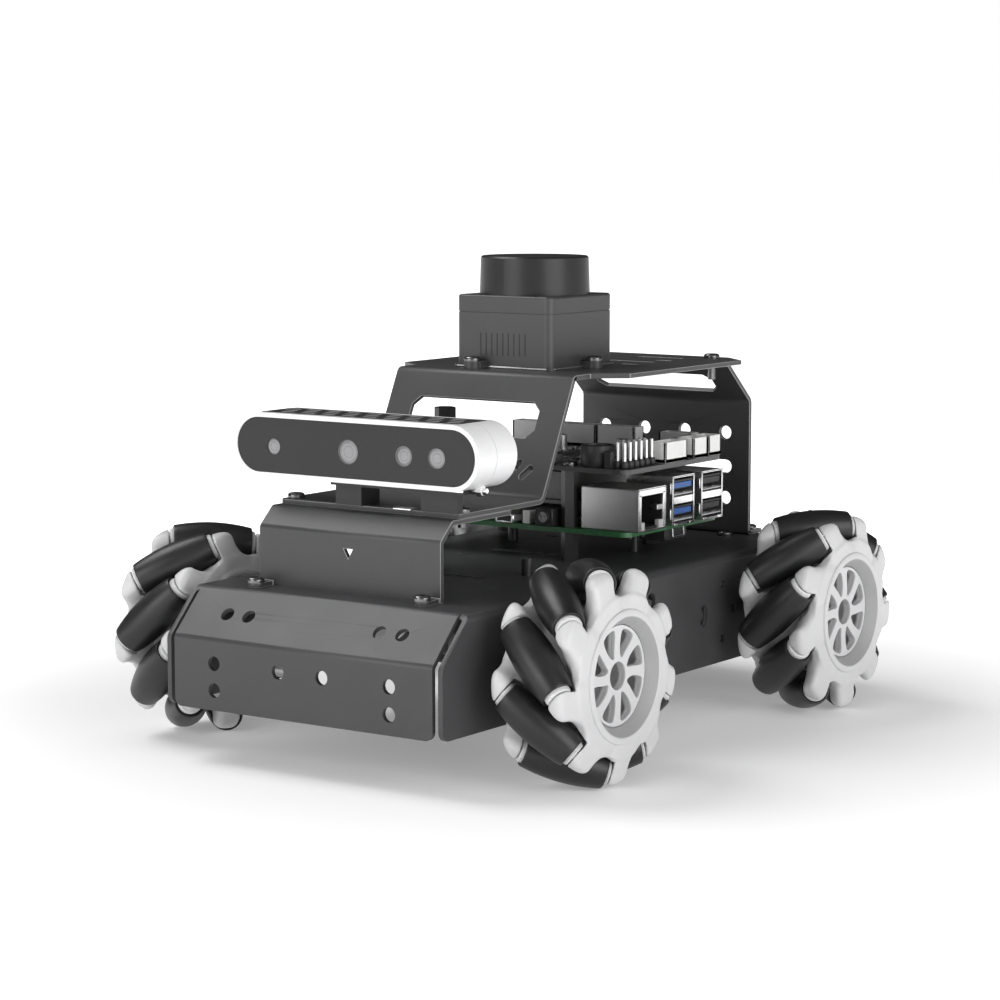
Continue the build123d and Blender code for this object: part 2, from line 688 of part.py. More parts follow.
port_face_y = board_left_y + port_overhang
gap = 0.02
with BuildPart() as computer_ports:
    # network socket and two stacked pairs of data sockets, all facing left
    side_ports = (
        (-12.3, 16.0, 21.3, 13.5, ((0, 6.6, 12.0, 8.6, 12.0),)),
        (-31.2, 13.2, 17.4, 15.7, ((0, 3.9, 12.0, 5.0, 10.0), (0, 11.7, 12.0, 5.0, 10.0))),
        (-49.1, 13.2, 17.4, 15.7, ((0, 3.9, 12.0, 5.0, 10.0), (0, 11.7, 12.0, 5.0, 10.0))),
    )
    for centre_x, width, depth, height, mouths in side_ports:
        with BuildSketch(Plane.XY.offset(board_top + gap)):
            with Locations((centre_x, port_face_y - depth / 2)):
                Rectangle(width, depth)
        extrude(amount=height - gap)
        mouth_plane = Plane(
            origin=(centre_x, port_face_y, board_top), x_dir=(-1, 0, 0), z_dir=(0, 1, 0)
        )
        for across, up, mouth_width, mouth_height, mouth_depth in mouths:
            with BuildSketch(mouth_plane):
                with Locations((across, up)):
                    Rectangle(mouth_width, mouth_height)
            extrude(amount=-mouth_depth, mode=Mode.SUBTRACT)
    # tongues inside the data sockets
    for centre_x in (-31.2, -49.1):
        for up in (4.9, 12.7):
            tongue_plane = Plane(
                origin=(centre_x, port_face_y - 10, board_top + up), x_dir=(-1, 0, 0), z_dir=(0, 1, 0)
            )
            with BuildSketch(tongue_plane):
                Rectangle(10.6, 1.6)
            extrude(amount=8.5)
    # power, two display sockets and the audio jack, facing forward
    front_ports = (
        (-33.9, 9.0, 7.4, 3.2),
        (-19.1, 7.0, 7.6, 3.2),
        (-5.6, 7.0, 7.6, 3.2),
        (9.2, 6.6, 12.0, 6.0),
    )
    for centre_y, width, depth, height in front_ports:
        with BuildSketch(Plane.XY.offset(board_top + gap)):
            with Locations((board_front_x + 1.2 - depth / 2, centre_y)):
                Rectangle(depth, width)
        extrude(amount=height - gap)
    # ribbon connector, pin header up to the expansion board and a socket under the board
    with BuildSketch(Plane.XY.offset(board_top + gap)):
        with Locations((-13.0, 1.4)):
            Rectangle(20.0, 2.6)
    extrude(amount=5.4)
    with BuildSketch(Plane.XY.offset(board_top + gap)):
        with Locations((-54.6, -12.6)):
            Rectangle(5.0, 50.8)
    extrude(amount=upper_board_top - board_sheet - board_top - 2 * gap)
    with BuildSketch(Plane.XY.offset(board_top - board_sheet - gap)):
        with Locations((-35.0, 33.0)):
            Rectangle(14.0, 10.0)
    extrude(amount=-4.4)
save(computer_ports, "computer_ports")

with BuildPart() as cooler:
    # finned plate on the processor with the fan's square frame above it
    with BuildSketch(Plane.XY.offset(board_top + gap)):
        with Locations((-31.0, -6.0)):
            Rectangle(13.0, 15.0)
    extrude(amount=6.4)
    with BuildSketch(Plane.XY.offset(board_top + 6.3)):
        with Locations((fan_x, fan_y)):
            Rectangle(fan_size_x, fan_size_y)
    extrude(amount=1.2)
    with BuildSketch(Plane.XY.offset(board_top + 7.5)):
        with Locations((fan_x, fan_y)):
            with GridLocations(4.5, 0, 8, 1):
                Rectangle(1.2, fan_size_y)
    extrude(amount=fan_floor - 7.5)
    with BuildSketch(Plane.XY.offset(board_top + fan_floor)):
        with Locations((fan_x, fan_y)):
            RectangleRounded(fan_size_x, fan_size_y, 3)
            Circle(fan_ring_radius, mode=Mode.SUBTRACT)
            Circle(6.0)
            Rectangle(fan_size_x - 1, 2.0)
            Rectangle(2.0, fan_size_y - 1)
    extrude(amount=1.0)
    with BuildSketch(Plane.XY.offset(board_top + fan_floor + 1.0)):
        with Locations((fan_x, fan_y)):
            RectangleRounded(fan_size_x, fan_size_y, 3)
            Circle(fan_ring_radius, mode=Mode.SUBTRACT)
    extrude(amount=5.8)
    with BuildSketch(Plane.XY.offset(board_top + fan_floor)):
        with Locations((fan_x, fan_y)):
            Circle(fan_pin_radius)
    extrude(amount=4.5)
save(cooler, "cooler")

with BuildPart() as fan_rotor:
    with BuildSketch(Plane.XY.offset(board_top + fan_floor + 1.5)):
        with Locations((fan_x, fan_y)):
            Circle(7.0)
            Circle(fan_pin_radius + 0.05, mode=Mode.SUBTRACT)
            with PolarLocations(11.0, 7):
                Rectangle(9.4, 1.1, rotation=24)
    extrude(amount=4.8)
save(fan_rotor, "fan_rotor")

expansion_board = board(upper_board_front_x, upper_board_rear_x, upper_board_top)
save(expansion_board, "expansion_board")

with BuildPart() as expansion_parts:
    seat = Plane.XY.offset(upper_board_top + gap)
    with BuildSketch(seat):
        with Locations((-10.0, 25.6)):
            Circle(6.0)
    extrude(amount=6.8)
    # low bases of the pin rows on the left edge, pins standing on them
    with BuildSketch(seat):
        with Locations((-21.0, 35.6)):
            Rectangle(21.0, 5.2)
    extrude(amount=2.4)
    with BuildSketch(seat.offset(2.4)):
        with Locations((-21.0, 35.6)):
            with GridLocations(2.54, 2.54, 8, 2):
                Rectangle(0.64, 0.64)
    extrude(amount=6.0)
    # white plug sockets on the left edge and along the rear edge
    for centre_x, centre_y, size_x, size_y, height in (
        (-37.4, 36.2, 10.0, 6.6, 6.6),
        (-48.6, 36.2, 8.0, 6.6, 6.6),
        (-56.4, 36.2, 7.0, 6.6, 6.6),
        (-57.2, 25.4, 6.0, 12.0, 6.8),
        (-57.2, -2.0, 6.0, 26.0, 8.0),
        (-57.2, -26.8, 6.0, 20.0, 8.0),
        (-30.0, 5.0, 12.0, 12.0, 1.4),
        (-7.5, 6.0, 7.0, 9.0, 2.6),
        (-12.0, -14.0, 9.0, 12.0, 4.0),
    ):
        with BuildSketch(seat):
            with Locations((centre_x, centre_y)):
                Rectangle(size_x, size_y)
        extrude(amount=height)
    with BuildSketch(seat):
        with Locations((-7.0, -33.0)):
            RegularPolygon(3.1, 6)
    extrude(amount=14.4)
save(expansion_parts, "expansion_parts")

with BuildPart() as standoffs:
    # hexagonal spacers under the computer board and between the two boards
    spans = (
        (chassis_top + gap, board_top - board_sheet - gap),
        (board_top + gap, upper_board_top - board_sheet - gap),
    )
    for low, high in spans:
        with BuildSketch(Plane.XY.offset(low)):
            with Locations(*board_holes):
                RegularPolygon(spacer_radius, 6, major_radius=True)
        extrude(amount=high - low)
    # three short round studs on the chassis under the board
    with BuildSketch(Plane.XY.offset(chassis_top + gap)):
        with Locations((27.4, 22.3), (-35.5, 21.7), (-35.2, -25.5)):
            Circle(stud_radius)
    extrude(amount=stud_height)
save(standoffs, "standoffs")


def screw(place_x, place_y, under_head, length):
    """Button-head screw with a hexagonal socket, pointing down."""
    with BuildPart() as blank:
        with BuildSketch(Plane.XY.offset(under_head)):
            Circle(2.6)
        extrude(amount=1.5)
        fillet(blank.faces().sort_by(Axis.Z)[-1].edges(), 0.9)
        with BuildSketch(Plane.XY.offset(under_head + 1.5)):
            RegularPolygon(1.1, 6)
        extrude(amount=-0.9, mode=Mode.SUBTRACT)
        with BuildSketch(Plane.XY.offset(under_head)):
            Circle(1.25)
        extrude(amount=-length)
    return Pos(place_x, place_y, 0) * blank.part


fastener_places = []
for side_y in (screw_y, -screw_y):
    fastener_places.append((foot_x, side_y, chassis_top + sheet + gap, 4.0))
    fastener_places.append((73.5, side_y, deck_top + gap, 4.5))
    fastener_places.append((-69.0, side_y, roof_top + gap, 7.0))
    fastener_places.append((-95.0, side_y, chassis_top + sheet + gap, 4.0))
for side_y in (clamp_place[1], -clamp_place[1]):
    fastener_places.append((clamp_place[0], side_y, chassis_top + gap, 3.0))
for ear_x, ear_y in ear_places:
    fastener_places.append((scanner_x + ear_x, ear_y, scanner_base_z + 1.34, 5.0))
for hole_x, hole_y in board_holes:
    fastener_places.append((hole_x, hole_y, upper_board_top + gap, 1.3))
with BuildPart() as screws:
    for place in fastener_places:
        add(screw(*place))
save(screws, "screws")

# Four gear motors lying along the side walls, each with its can pointing to the middle
motor_wall = chassis_half_width - sheet - gap
with BuildPart() as one_motor:
    motor_plane = Plane(
        origin=(axle_x, motor_wall, wheel_radius), x_dir=(1, 0, 0), z_dir=(0, -1, 0)
    )
    with BuildSketch(motor_plane):
        with Locations(((gearbox_front + gearbox_rear) / 2, 0)):
            RectangleRounded(gearbox_front - gearbox_rear, 2 * gearbox_half_height, 3)
        Circle(shaft_bore_radius, mode=Mode.SUBTRACT)
    extrude(amount=gearbox_depth)
    with BuildSketch(motor_plane.offset(10)):
        Circle(6.0)
    extrude(amount=gearbox_depth - 10)
    can_start = axle_x + gearbox_rear
    can_plane = Plane(
        origin=(can_start, motor_wall - gearbox_depth / 2, wheel_radius),
        x_dir=(0, 1, 0),
        z_dir=(-1, 0, 0),
    )
    with BuildSketch(can_plane):
        Circle(motor_can_radius)
    extrude(amount=motor_can_length)
    with BuildSketch(can_plane.offset(motor_can_length)):
        Circle(8.0)
    extrude(amount=3.0)
with BuildPart() as gear_motors:
    for planes in corners.values():
        add(mirrored(one_motor.part, planes))
save(gear_motors, "gear_motors")

with BuildPart() as battery_pack:
    with BuildSketch(Plane.XY.offset(chassis_top - sheet - gap)):
        RectangleRounded(70.0, 40.0, 4)
    extrude(amount=-20.0)
save(battery_pack, "battery_pack")
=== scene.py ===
import json
import random
from math import cos, pi, radians, sin

import bpy
import numpy as np
from mathutils import Matrix, Vector


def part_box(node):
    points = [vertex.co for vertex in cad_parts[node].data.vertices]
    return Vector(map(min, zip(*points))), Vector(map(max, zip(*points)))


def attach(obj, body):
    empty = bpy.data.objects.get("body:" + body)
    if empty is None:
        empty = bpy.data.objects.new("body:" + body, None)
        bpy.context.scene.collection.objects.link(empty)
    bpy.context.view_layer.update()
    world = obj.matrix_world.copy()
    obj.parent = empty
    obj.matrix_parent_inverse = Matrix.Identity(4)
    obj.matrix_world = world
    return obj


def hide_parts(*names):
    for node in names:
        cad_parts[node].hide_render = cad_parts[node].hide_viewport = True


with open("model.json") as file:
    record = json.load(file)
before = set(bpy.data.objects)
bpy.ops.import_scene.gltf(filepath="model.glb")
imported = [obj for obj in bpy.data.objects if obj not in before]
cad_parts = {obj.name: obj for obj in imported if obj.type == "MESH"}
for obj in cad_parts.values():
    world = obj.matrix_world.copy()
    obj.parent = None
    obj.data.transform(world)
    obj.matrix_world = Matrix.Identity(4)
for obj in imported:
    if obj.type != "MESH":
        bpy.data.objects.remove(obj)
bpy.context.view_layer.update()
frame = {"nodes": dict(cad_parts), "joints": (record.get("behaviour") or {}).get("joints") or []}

# Shapes are in millimetres and their meshes in metres, as are bump depths, bevels and the stage.
MM = 0.001
CORNERS = {
    "front_left": (1, 1),
    "front_right": (1, -1),
    "rear_left": (-1, 1),
    "rear_right": (-1, -1),
}
joints = {joint["name"]: joint for joint in frame["joints"]}
scene = bpy.context.scene
scene.view_settings.view_transform = "Standard"

# ---------------------------------------------------------------- materials

# share of the fine noise in a finish's colour, the broad noise has the rest
FINE_SHARE = 0.45
# noise values at which a finish has its dark and its light colour
DARK_AT, LIGHT_AT = 0.32, 0.68
# pointiness at which wear on an edge begins and is full
WEAR_FROM, WEAR_FULL = 0.52, 0.62


def new_node(tree, kind, **values):
    """A shader node with the given properties."""
    node = tree.nodes.new(kind)
    for key, value in values.items():
        setattr(node, key, value)
    return node


def set_inputs(node, values):
    for socket, value in values.items():
        node.inputs[socket].default_value = value


def noise_texture(tree, coords, scale, detail, rough):
    node = new_node(tree, "ShaderNodeTexNoise")
    set_inputs(node, {"Scale": scale, "Detail": detail, "Roughness": rough})
    tree.links.new(coords, node.inputs["Vector"])
    return node


def colour_ramp(tree, low, dark, high, light):
    """Ramp from a dark colour at one value to a light colour at another."""
    ramp = new_node(tree, "ShaderNodeValToRGB")
    for element, place, colour in zip(ramp.color_ramp.elements, (low, high), (dark, light)):
        element.position = place
        element.color = (*colour, 1)
    return ramp


def finish_material(
    name,
    dark,
    light,
    rough,
    rough_spread=0.08,
    metallic=0.0,
    cloud=70.0,
    grain=2600.0,
    bump=0.12,
    depth=0.00004,
    edge=0.0,
    stretch=(1, 1, 1),
    sockets=None,
):
    """Two close colours mixed by broad and fine noise, uneven roughness and a fine bump."""
    material = bpy.data.materials.new(name)
    material.use_nodes = True
    tree = material.node_tree
    shader = tree.nodes["Principled BSDF"]
    set_inputs(shader, {"Metallic": metallic, **(sockets or {})})
    coords = new_node(tree, "ShaderNodeTexCoord").outputs["Object"]
    mapping = new_node(tree, "ShaderNodeMapping")
    mapping.inputs["Scale"].default_value = stretch
    tree.links.new(coords, mapping.inputs["Vector"])
    where = mapping.outputs["Vector"]
    broad = noise_texture(tree, where, cloud, 4.0, 0.6)
    fine = noise_texture(tree, where, grain, 2.0, 0.5)
    mixed = new_node(tree, "ShaderNodeMath", operation="MULTIPLY_ADD")
    tree.links.new(fine.outputs["Fac"], mixed.inputs[0])
    mixed.inputs[1].default_value = FINE_SHARE
    broad_part = new_node(tree, "ShaderNodeMath", operation="MULTIPLY")
    tree.links.new(broad.outputs["Fac"], broad_part.inputs[0])
    broad_part.inputs[1].default_value = 1 - FINE_SHARE
    tree.links.new(broad_part.outputs[0], mixed.inputs[2])
    ramp = colour_ramp(tree, DARK_AT, dark, LIGHT_AT, light)
    tree.links.new(mixed.outputs[0], ramp.inputs["Fac"])
    colour = ramp.outputs["Color"]
    if edge:
        geometry = new_node(tree, "ShaderNodeNewGeometry")
        sharp = new_node(tree, "ShaderNodeMapRange")
        set_inputs(sharp, {"From Min": WEAR_FROM, "From Max": WEAR_FULL, "To Max": edge})
        tree.links.new(geometry.outputs["Pointiness"], sharp.inputs["Value"])
        blend = new_node(tree, "ShaderNodeMix", data_type="RGBA")
        tree.links.new(sharp.outputs["Result"], blend.inputs["Factor"])
        tree.links.new(colour, blend.inputs["A"])
        blend.inputs["B"].default_value = (*[min(1.0, 2.2 * c + 0.02) for c in light], 1)
        colour = blend.outputs["Result"]
    tree.links.new(colour, shader.inputs["Base Color"])
    gloss = new_node(tree, "ShaderNodeMapRange")
    lowest, highest = max(0.02, rough - rough_spread), min(1.0, rough + rough_spread)
    set_inputs(gloss, {"To Min": lowest, "To Max": highest})
    tree.links.new(broad.outputs["Fac"], gloss.inputs["Value"])
    tree.links.new(gloss.outputs["Result"], shader.inputs["Roughness"])
    if bump:
        height = new_node(tree, "ShaderNodeBump")
        set_inputs(height, {"Strength": bump, "Distance": depth})
        tree.links.new(fine.outputs["Fac"], height.inputs["Height"])
        tree.links.new(height.outputs["Normal"], shader.inputs["Normal"])
    return material


def grey(value, tint=0.0):
    return (value, value, value * (1 + tint))


paint = finish_material("powder_coat", grey(0.040, 0.05), grey(0.052, 0.05), 0.44, bump=0.25)
# lighter grey for the sheet parts' bevelled edges: a painted highlight where the edges catch the light
painted_edge_highlight = finish_material("painted_edge_highlight", grey(0.22), grey(0.30), 0.38, bump=0.2)
white_shell = finish_material(
    "satin_white", grey(0.80, 0.01), grey(0.86, 0.01), 0.30, 0.05, grain=4000, bump=0.05
)
window_glass = finish_material(
    "dark_window", grey(0.030), grey(0.036), 0.16, 0.04, cloud=40, bump=0.0,
    sockets={"Specular IOR Level": 0.16},
)
moulded_black = finish_material("moulded_black", grey(0.010), grey(0.018), 0.5, grain=3200, bump=0.3)
spacer_black = finish_material(
    "spacer_black", grey(0.040), grey(0.055), 0.30, 0.06, 0.4, grain=2000, bump=0.1
)
scanner_body = finish_material("scanner_body", grey(0.038), grey(0.052), 0.40, grain=4200, bump=0.35)
scanner_dark = finish_material(
    "scanner_dark", grey(0.012), grey(0.02), 0.34, 0.05, bump=0.03,
    sockets={"Specular IOR Level": 0.35},
)
solder_green = finish_material(
    "solder_green", (0.018, 0.085, 0.03), (0.035, 0.15, 0.055), 0.32, cloud=420, grain=1500, bump=0.2
)
solder_black = finish_material(
    "solder_black", grey(0.035), grey(0.07), 0.35, cloud=420, grain=1500, bump=0.2
)
tin = finish_material(
    "tin_shell", grey(0.62), grey(0.74), 0.30, metallic=1.0, grain=1400, stretch=(1, 1, 4)
)
bright_edge = finish_material(
    "bright_edge", grey(0.80), grey(0.92), 0.22, 0.05, 1.0, grain=1800, bump=0.06
)
anodised = finish_material("anodised", grey(0.10), grey(0.15), 0.36, metallic=0.85, stretch=(1, 6, 1))
nylon_white = finish_material("nylon_white", grey(0.72, -0.02), grey(0.82, -0.02), 0.42, bump=0.15)
nylon_grey = finish_material("nylon_grey", grey(0.38), grey(0.46), 0.45, bump=0.15)
chip_black = finish_material("chip_black", grey(0.012), grey(0.022), 0.48, grain=5000, bump=0.3)
tongue_blue = finish_material(
    "tongue_blue", (0.018, 0.075, 0.27), (0.03, 0.11, 0.35), 0.38, bump=0.08
)
gold = finish_material(
    "gold_contact", (0.62, 0.42, 0.13), (0.75, 0.53, 0.2), 0.25, 0.05, 1.0, bump=0.03
)
black_oxide = finish_material(
    "black_oxide", grey(0.10), grey(0.16), 0.24, metallic=0.9, grain=3000, bump=0.1, edge=0.4
)
steel = finish_material("steel_pin", grey(0.50), grey(0.62), 0.28, metallic=1.0, stretch=(1, 1, 5))
motor_can = finish_material("motor_can", grey(0.42), grey(0.55), 0.33, 0.1, 1.0, stretch=(5, 1, 1))
wrap = finish_material("battery_wrap", grey(0.014), grey(0.024), 0.3, 0.1, grain=700, bump=0.2)
hub_nylon = finish_material(
    "hub_nylon", grey(0.58, 0.01), grey(0.66, 0.01), 0.42, 0.06, cloud=50, grain=3400, bump=0.18,
    sockets={"Subsurface Weight": 0.06, "Subsurface Radius": (0.002, 0.002, 0.002)},
)
# darker copy of the hub's nylon for the cone down to the disc: painted shade in the recess
recess_painted_shade = finish_material("recess_painted_shade", grey(0.33, 0.01), grey(0.39, 0.01), 0.45, bump=0.15)
core_nylon = finish_material("core_nylon", grey(0.62), grey(0.72), 0.36, 0.06, bump=0.1)
rubber = finish_material(
    "roller_rubber", grey(0.007), grey(0.014), 0.40, 0.1, cloud=160, grain=2200, bump=0.35
)
lens_glass = finish_material(
    "lens_glass", grey(0.22, 0.03), grey(0.28, 0.03), 0.22, 0.04, cloud=300, bump=0.0,
    sockets={"Coat Weight": 0.2, "Coat Roughness": 0.10},
)
lens_ring = finish_material("lens_ring", grey(0.10), grey(0.15), 0.3, 0.05, bump=0.05)

# ---------------------------------------------------------------- mesh building


class Build:
    """Collects closed shapes, in millimetres, into one mesh that may have several materials."""

    def __init__(self):
        self.points = []
        self.faces = []
        self.slots = []

    def add(self, points, faces, slot=0, matrix=None):
        base = len(self.points)
        if matrix is not None:
            points = [tuple(matrix @ Vector(point)) for point in points]
        self.points += [tuple(point) for point in points]
        self.faces += [tuple(base + index for index in face) for face in faces]
        self.slots += [slot] * len(faces)

    def block(self, centre, size, slot=0, cut=0.12, matrix=None):
        """Box with chamfered edges."""
        half = [length / 2 for length in size]
        cut = min(cut, *(0.45 * length for length in half))
        signs = [(x, y, z) for x in (-1, 1) for y in (-1, 1) for z in (-1, 1)]
        points, index = [], {}
        for sign in signs:
            for axis in range(3):
                index[sign, axis] = len(points)
                reach = [half[k] if k == axis else half[k] - cut for k in range(3)]
                points.append([centre[k] + sign[k] * reach[k] for k in range(3)])
        faces = []
        for axis in range(3):
            one, two = [k for k in range(3) if k != axis]
            for side in (-1, 1):
                ring = []
                for a, b in ((-1, -1), (1, -1), (1, 1), (-1, 1)):
                    sign = [0, 0, 0]
                    sign[axis], sign[one], sign[two] = side, a, b
                    ring.append(index[tuple(sign), axis])
                faces.append(ring)
            for a in (-1, 1):
                for b in (-1, 1):
                    low, high = [0, 0, 0], [0, 0, 0]
                    low[axis], low[one], low[two] = -1, a, b
                    high[axis], high[one], high[two] = 1, a, b
                    low, high = tuple(low), tuple(high)
                    faces.append([index[low, one], index[high, one], index[high, two], index[low, two]])
        faces += [[index[sign, 0], index[sign, 1], index[sign, 2]] for sign in signs]
        middle = Vector(centre)
        for face in faces:
            corner = [Vector(points[k]) for k in face]
            normal = (corner[1] - corner[0]).cross(corner[2] - corner[0])
            if normal.dot(sum(corner, Vector()) / len(corner) - middle) < 0:
                face.reverse()
        self.add(points, faces, slot, matrix)

    def lathe(self, profile, matrix, slot=0, turns=32, slots=None, closed=False):
        """Turned solid: the profile is (radius, height) pairs from the lower end to the upper."""
        points, rows = [], []
        for radius, height in profile:
            if radius < 1e-6:
                rows.append([len(points)] * turns)
                points.append((0, 0, height))
            else:
                rows.append(list(range(len(points), len(points) + turns)))
                for step in range(turns):
                    angle = 2 * pi * step / turns
                    points.append((radius * cos(angle), radius * sin(angle), height))
        pairs = list(zip(rows, rows[1:]))
        if closed:
            pairs.append((rows[-1], rows[0]))
        for number, (low, high) in enumerate(pairs):
            faces = []
            for step in range(turns):
                after = (step + 1) % turns
                ring = [low[step], low[after], high[after], high[step]]
                ring = [k for n, k in enumerate(ring) if k not in ring[:n]]
                if len(ring) > 2:
                    faces.append(ring)
            place = slots[number] if slots else slot
            if number == 0:
                self.add(points, faces, place, matrix)
                base = len(self.points) - len(points)
            else:
                self.faces += [tuple(base + k for k in face) for face in faces]
                self.slots += [place] * len(faces)

    def rod(self, start, end, radius, slot=0, turns=20, cut=0.1):
        """Round bar between two points with chamfered ends."""
        start, end = Vector(start), Vector(end)
        length = (end - start).length
        cut = min(cut, 0.4 * radius, 0.4 * length)
        turn = (end - start).to_track_quat("Z", "Y").to_matrix().to_4x4()
        profile = [(0, 0), (radius - cut, 0), (radius, cut)]
        profile += [(radius, length - cut), (radius - cut, length), (0, length)]
        self.lathe(profile, Matrix.Translation(start) @ turn, slot, turns)

    def piece(self, name, body, materials, stands_for=(), at=None, sharp=38.0):
        """Make the object, in metres, and join it to its body."""
        mesh = bpy.data.meshes.new(name)
        mesh.from_pydata([[c * MM for c in point] for point in self.points], [], self.faces)
        for material in materials:
            mesh.materials.append(material)
        mesh.polygons.foreach_set("material_index", self.slots)
        return make_object(name, mesh, body, stands_for, at, sharp)


def add_object(name, data):
    made = bpy.data.objects.new(name, data)
    scene.collection.objects.link(made)
    return made


def make_object(name, mesh, body, stands_for=(), at=None, sharp=38.0):
    """Object that rides on a body and may stand for CAD nodes."""
    mesh.polygons.foreach_set("use_smooth", [True] * len(mesh.polygons))
    mesh.set_sharp_from_angle(angle=radians(sharp))
    mesh.update()
    made = add_object(name, mesh)
    if at is not None:
        made.matrix_world = at
    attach(made, body)
    if stands_for:
        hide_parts(*stands_for)
    return made


def millimetres(vector):
    return Vector(vector) / MM


# ---------------------------------------------------------------- wheel shapes

WHEEL_RADIUS = 32.5
ROLLER_MAX = 6.2
TILT = sin(radians(45))
HALF_HUB = 14.15
HUB_RADIUS = 31.2
BORE_RADIUS = 4.05
DISC_RADIUS = 14.5
DISC_OUTER = 10.85
DISC_INNER = 8.35

# hollow for each roller: half its length and its clearance
POCKET_END = 13.6
POCKET_GAP = 0.45

# a finger's points, as distances along its pin, and its round end
FINGER_BASE = 14.2
FINGER_FOOT = 15.7
FINGER_TIP = 16.0
FINGER_LEAN = 21.0
FINGER_RADIUS = 4.1
# its arm: distance from the middle plane, inner end's distance from the axle, radius and its growth
ARM_LEVEL = 11.5
ARM_START = 19.0
ARM_RADIUS = 6.4
ARM_GROWTH = -1.9
# the fingers' outer faces, which fall away outside a radius
FINGER_FACE = 13.1
FACE_SLOPE = 0.14
SLOPE_START = 23.0
# the round hollow in front of and behind the disc, which widens outward
RECESS_RADIUS = 15.3
FRONT_START, FRONT_SPREAD = 10.95, 0.75
BACK_START, BACK_SPREAD = 12.0, 1.0

# (radius, height) outline of the ring that carries the fingers
RING = [
    (15.4, -11.2), (15.0, -12.0), (17.3, -HALF_HUB), (19.0, -HALF_HUB), (19.7, -13.4),
    (23.2, -12.8), (23.2, -10.2), (19.6, -8.4), (19.6, 8.4), (23.2, 10.2), (23.2, 12.8),
    (19.7, 13.2), (16.8, 13.3), (14.85, DISC_OUTER + 0.1), (14.85, DISC_OUTER - 0.6),
    (15.4, DISC_OUTER - 1.2),
]
# rim round the spoked disc, with the cone that leads down to it in a darker copy of the hub's nylon,
# painted shade in the recess
RIM = [
    (15.4, 9.9), (19.0, 9.9), (19.4, 11.0), (19.4, 13.7), (19.25, 14.0), (18.95, HALF_HUB),
    (17.5, HALF_HUB), (17.25, 14.0), (14.85, DISC_OUTER + 0.1), (14.85, DISC_OUTER - 0.7),
]
# the second slot, on the cone, takes the painted shade
RIM_SLOTS = [0] * 7 + [1, 0, 0]
# back of the hub, with heights that grow away from the front
BACK = [
    (BORE_RADIUS, 8.2), (15.35, 8.5), (6.8, 8.6), (7.0, 10.6), (12.2, 10.6), (12.6, 11.4),
    (15.3, 11.6), (15.3, 12.0), (BORE_RADIUS, 12.0),
]
# opening between two spokes
PETAL = [
    (5.3, -0.2), (5.8, -0.9), (7.2, -1.9), (9.2, -2.6), (11.2, -2.95), (12.6, -2.9),
    (13.25, -2.3), (13.55, -1.0), (13.6, 0.6), (13.4, 2.2), (13.0, 3.1), (12.2, 3.3),
    (11.0, 2.8), (9.2, 1.9), (7.2, 0.9), (5.8, 0.4),
]
SPOKES = 8
PETAL_TURN = 23

axle = millimetres(joints["front_left_wheel_spin"]["pos_m"])
pins = []
for number in range(1, 10):
    joint = joints[f"front_left_roller_{number}_spin"]
    pins.append((np.array(millimetres(joint["pos_m"]) - axle), np.array(joint["axis"], float)))


def barrel(along):
    """Radius of a roller at a distance along its pin."""
    centre = WHEEL_RADIUS - ROLLER_MAX
    return WHEEL_RADIUS - np.sqrt(centre**2 + (along * TILT) ** 2)


def soft_min(a, b, blend):
    """The smaller of two distances, with a fillet of about the blend's width where they meet."""
    share = np.clip(0.5 + 0.5 * (b - a) / blend, 0, 1)
    return b + (a - b) * share - blend * share * (1 - share)


def soft_max(a, b, blend):
    return -soft_min(-a, -b, blend)


def polygon_distance(across, up, corners):
    """Signed distance to a closed outline, negative inside."""
    best = np.full(across.shape, 1e9)
    inside = np.zeros(across.shape, bool)
    for (x0, y0), (x1, y1) in zip(corners, corners[1:] + corners[:1]):
        ex, ey = x1 - x0, y1 - y0
        wx, wy = across - x0, up - y0
        share = np.clip((wx * ex + wy * ey) / (ex * ex + ey * ey), 0, 1)
        best = np.minimum(best, (wx - share * ex) ** 2 + (wy - share * ey) ** 2)
        if y0 != y1:
            crosses = (up >= min(y0, y1)) & (up < max(y0, y1))
            inside ^= crosses & (across < x0 + (up - y0) * ex / ey)
    return np.where(inside, -1, 1) * np.sqrt(best)


def capsule_distance(points, start, end, radius, growth=0.0):
    """Distance to a round-ended bar whose radius may grow towards its end."""
    line = end - start
    offset = points - start
    share = np.clip(offset @ line / (line @ line), 0, 1)
    return np.linalg.norm(offset - share[:, None] * line, axis=1) - radius - growth * share


def finger_distance(points, centre, pin, end):
    """Distance to one finger: a round end over the pin and an arm leaning out to it."""
    base = centre + pin * end * FINGER_BASE
    tip = centre + pin * end * FINGER_TIP
    foot = centre + pin * end * FINGER_FOOT
    lean = centre + pin * end * FINGER_LEAN
    lift = np.array([0, end * ARM_LEVEL, 0])
    inner = np.array([lean[0], 0, lean[2]])
    inner = inner / np.linalg.norm(inner) * ARM_START + lift
    outer = np.array([0.95 * foot[0], 0, 0.95 * foot[2]]) + lift
    top = capsule_distance(points, base, tip, FINGER_RADIUS)
    arm = capsule_distance(points, inner, outer, ARM_RADIUS, ARM_GROWTH)
    return soft_min(top, arm, 2.8)


def pocket_distance(points, centre, pin):
    """Distance to the hollow that one roller turns in."""
    offset = points - centre
    along = offset @ pin
    across = np.linalg.norm(offset - along[:, None] * pin, axis=1)
    limited = np.clip(along, -POCKET_END, POCKET_END)
    return soft_max(np.abs(along) - POCKET_END, across - barrel(limited) - POCKET_GAP, 0.3)


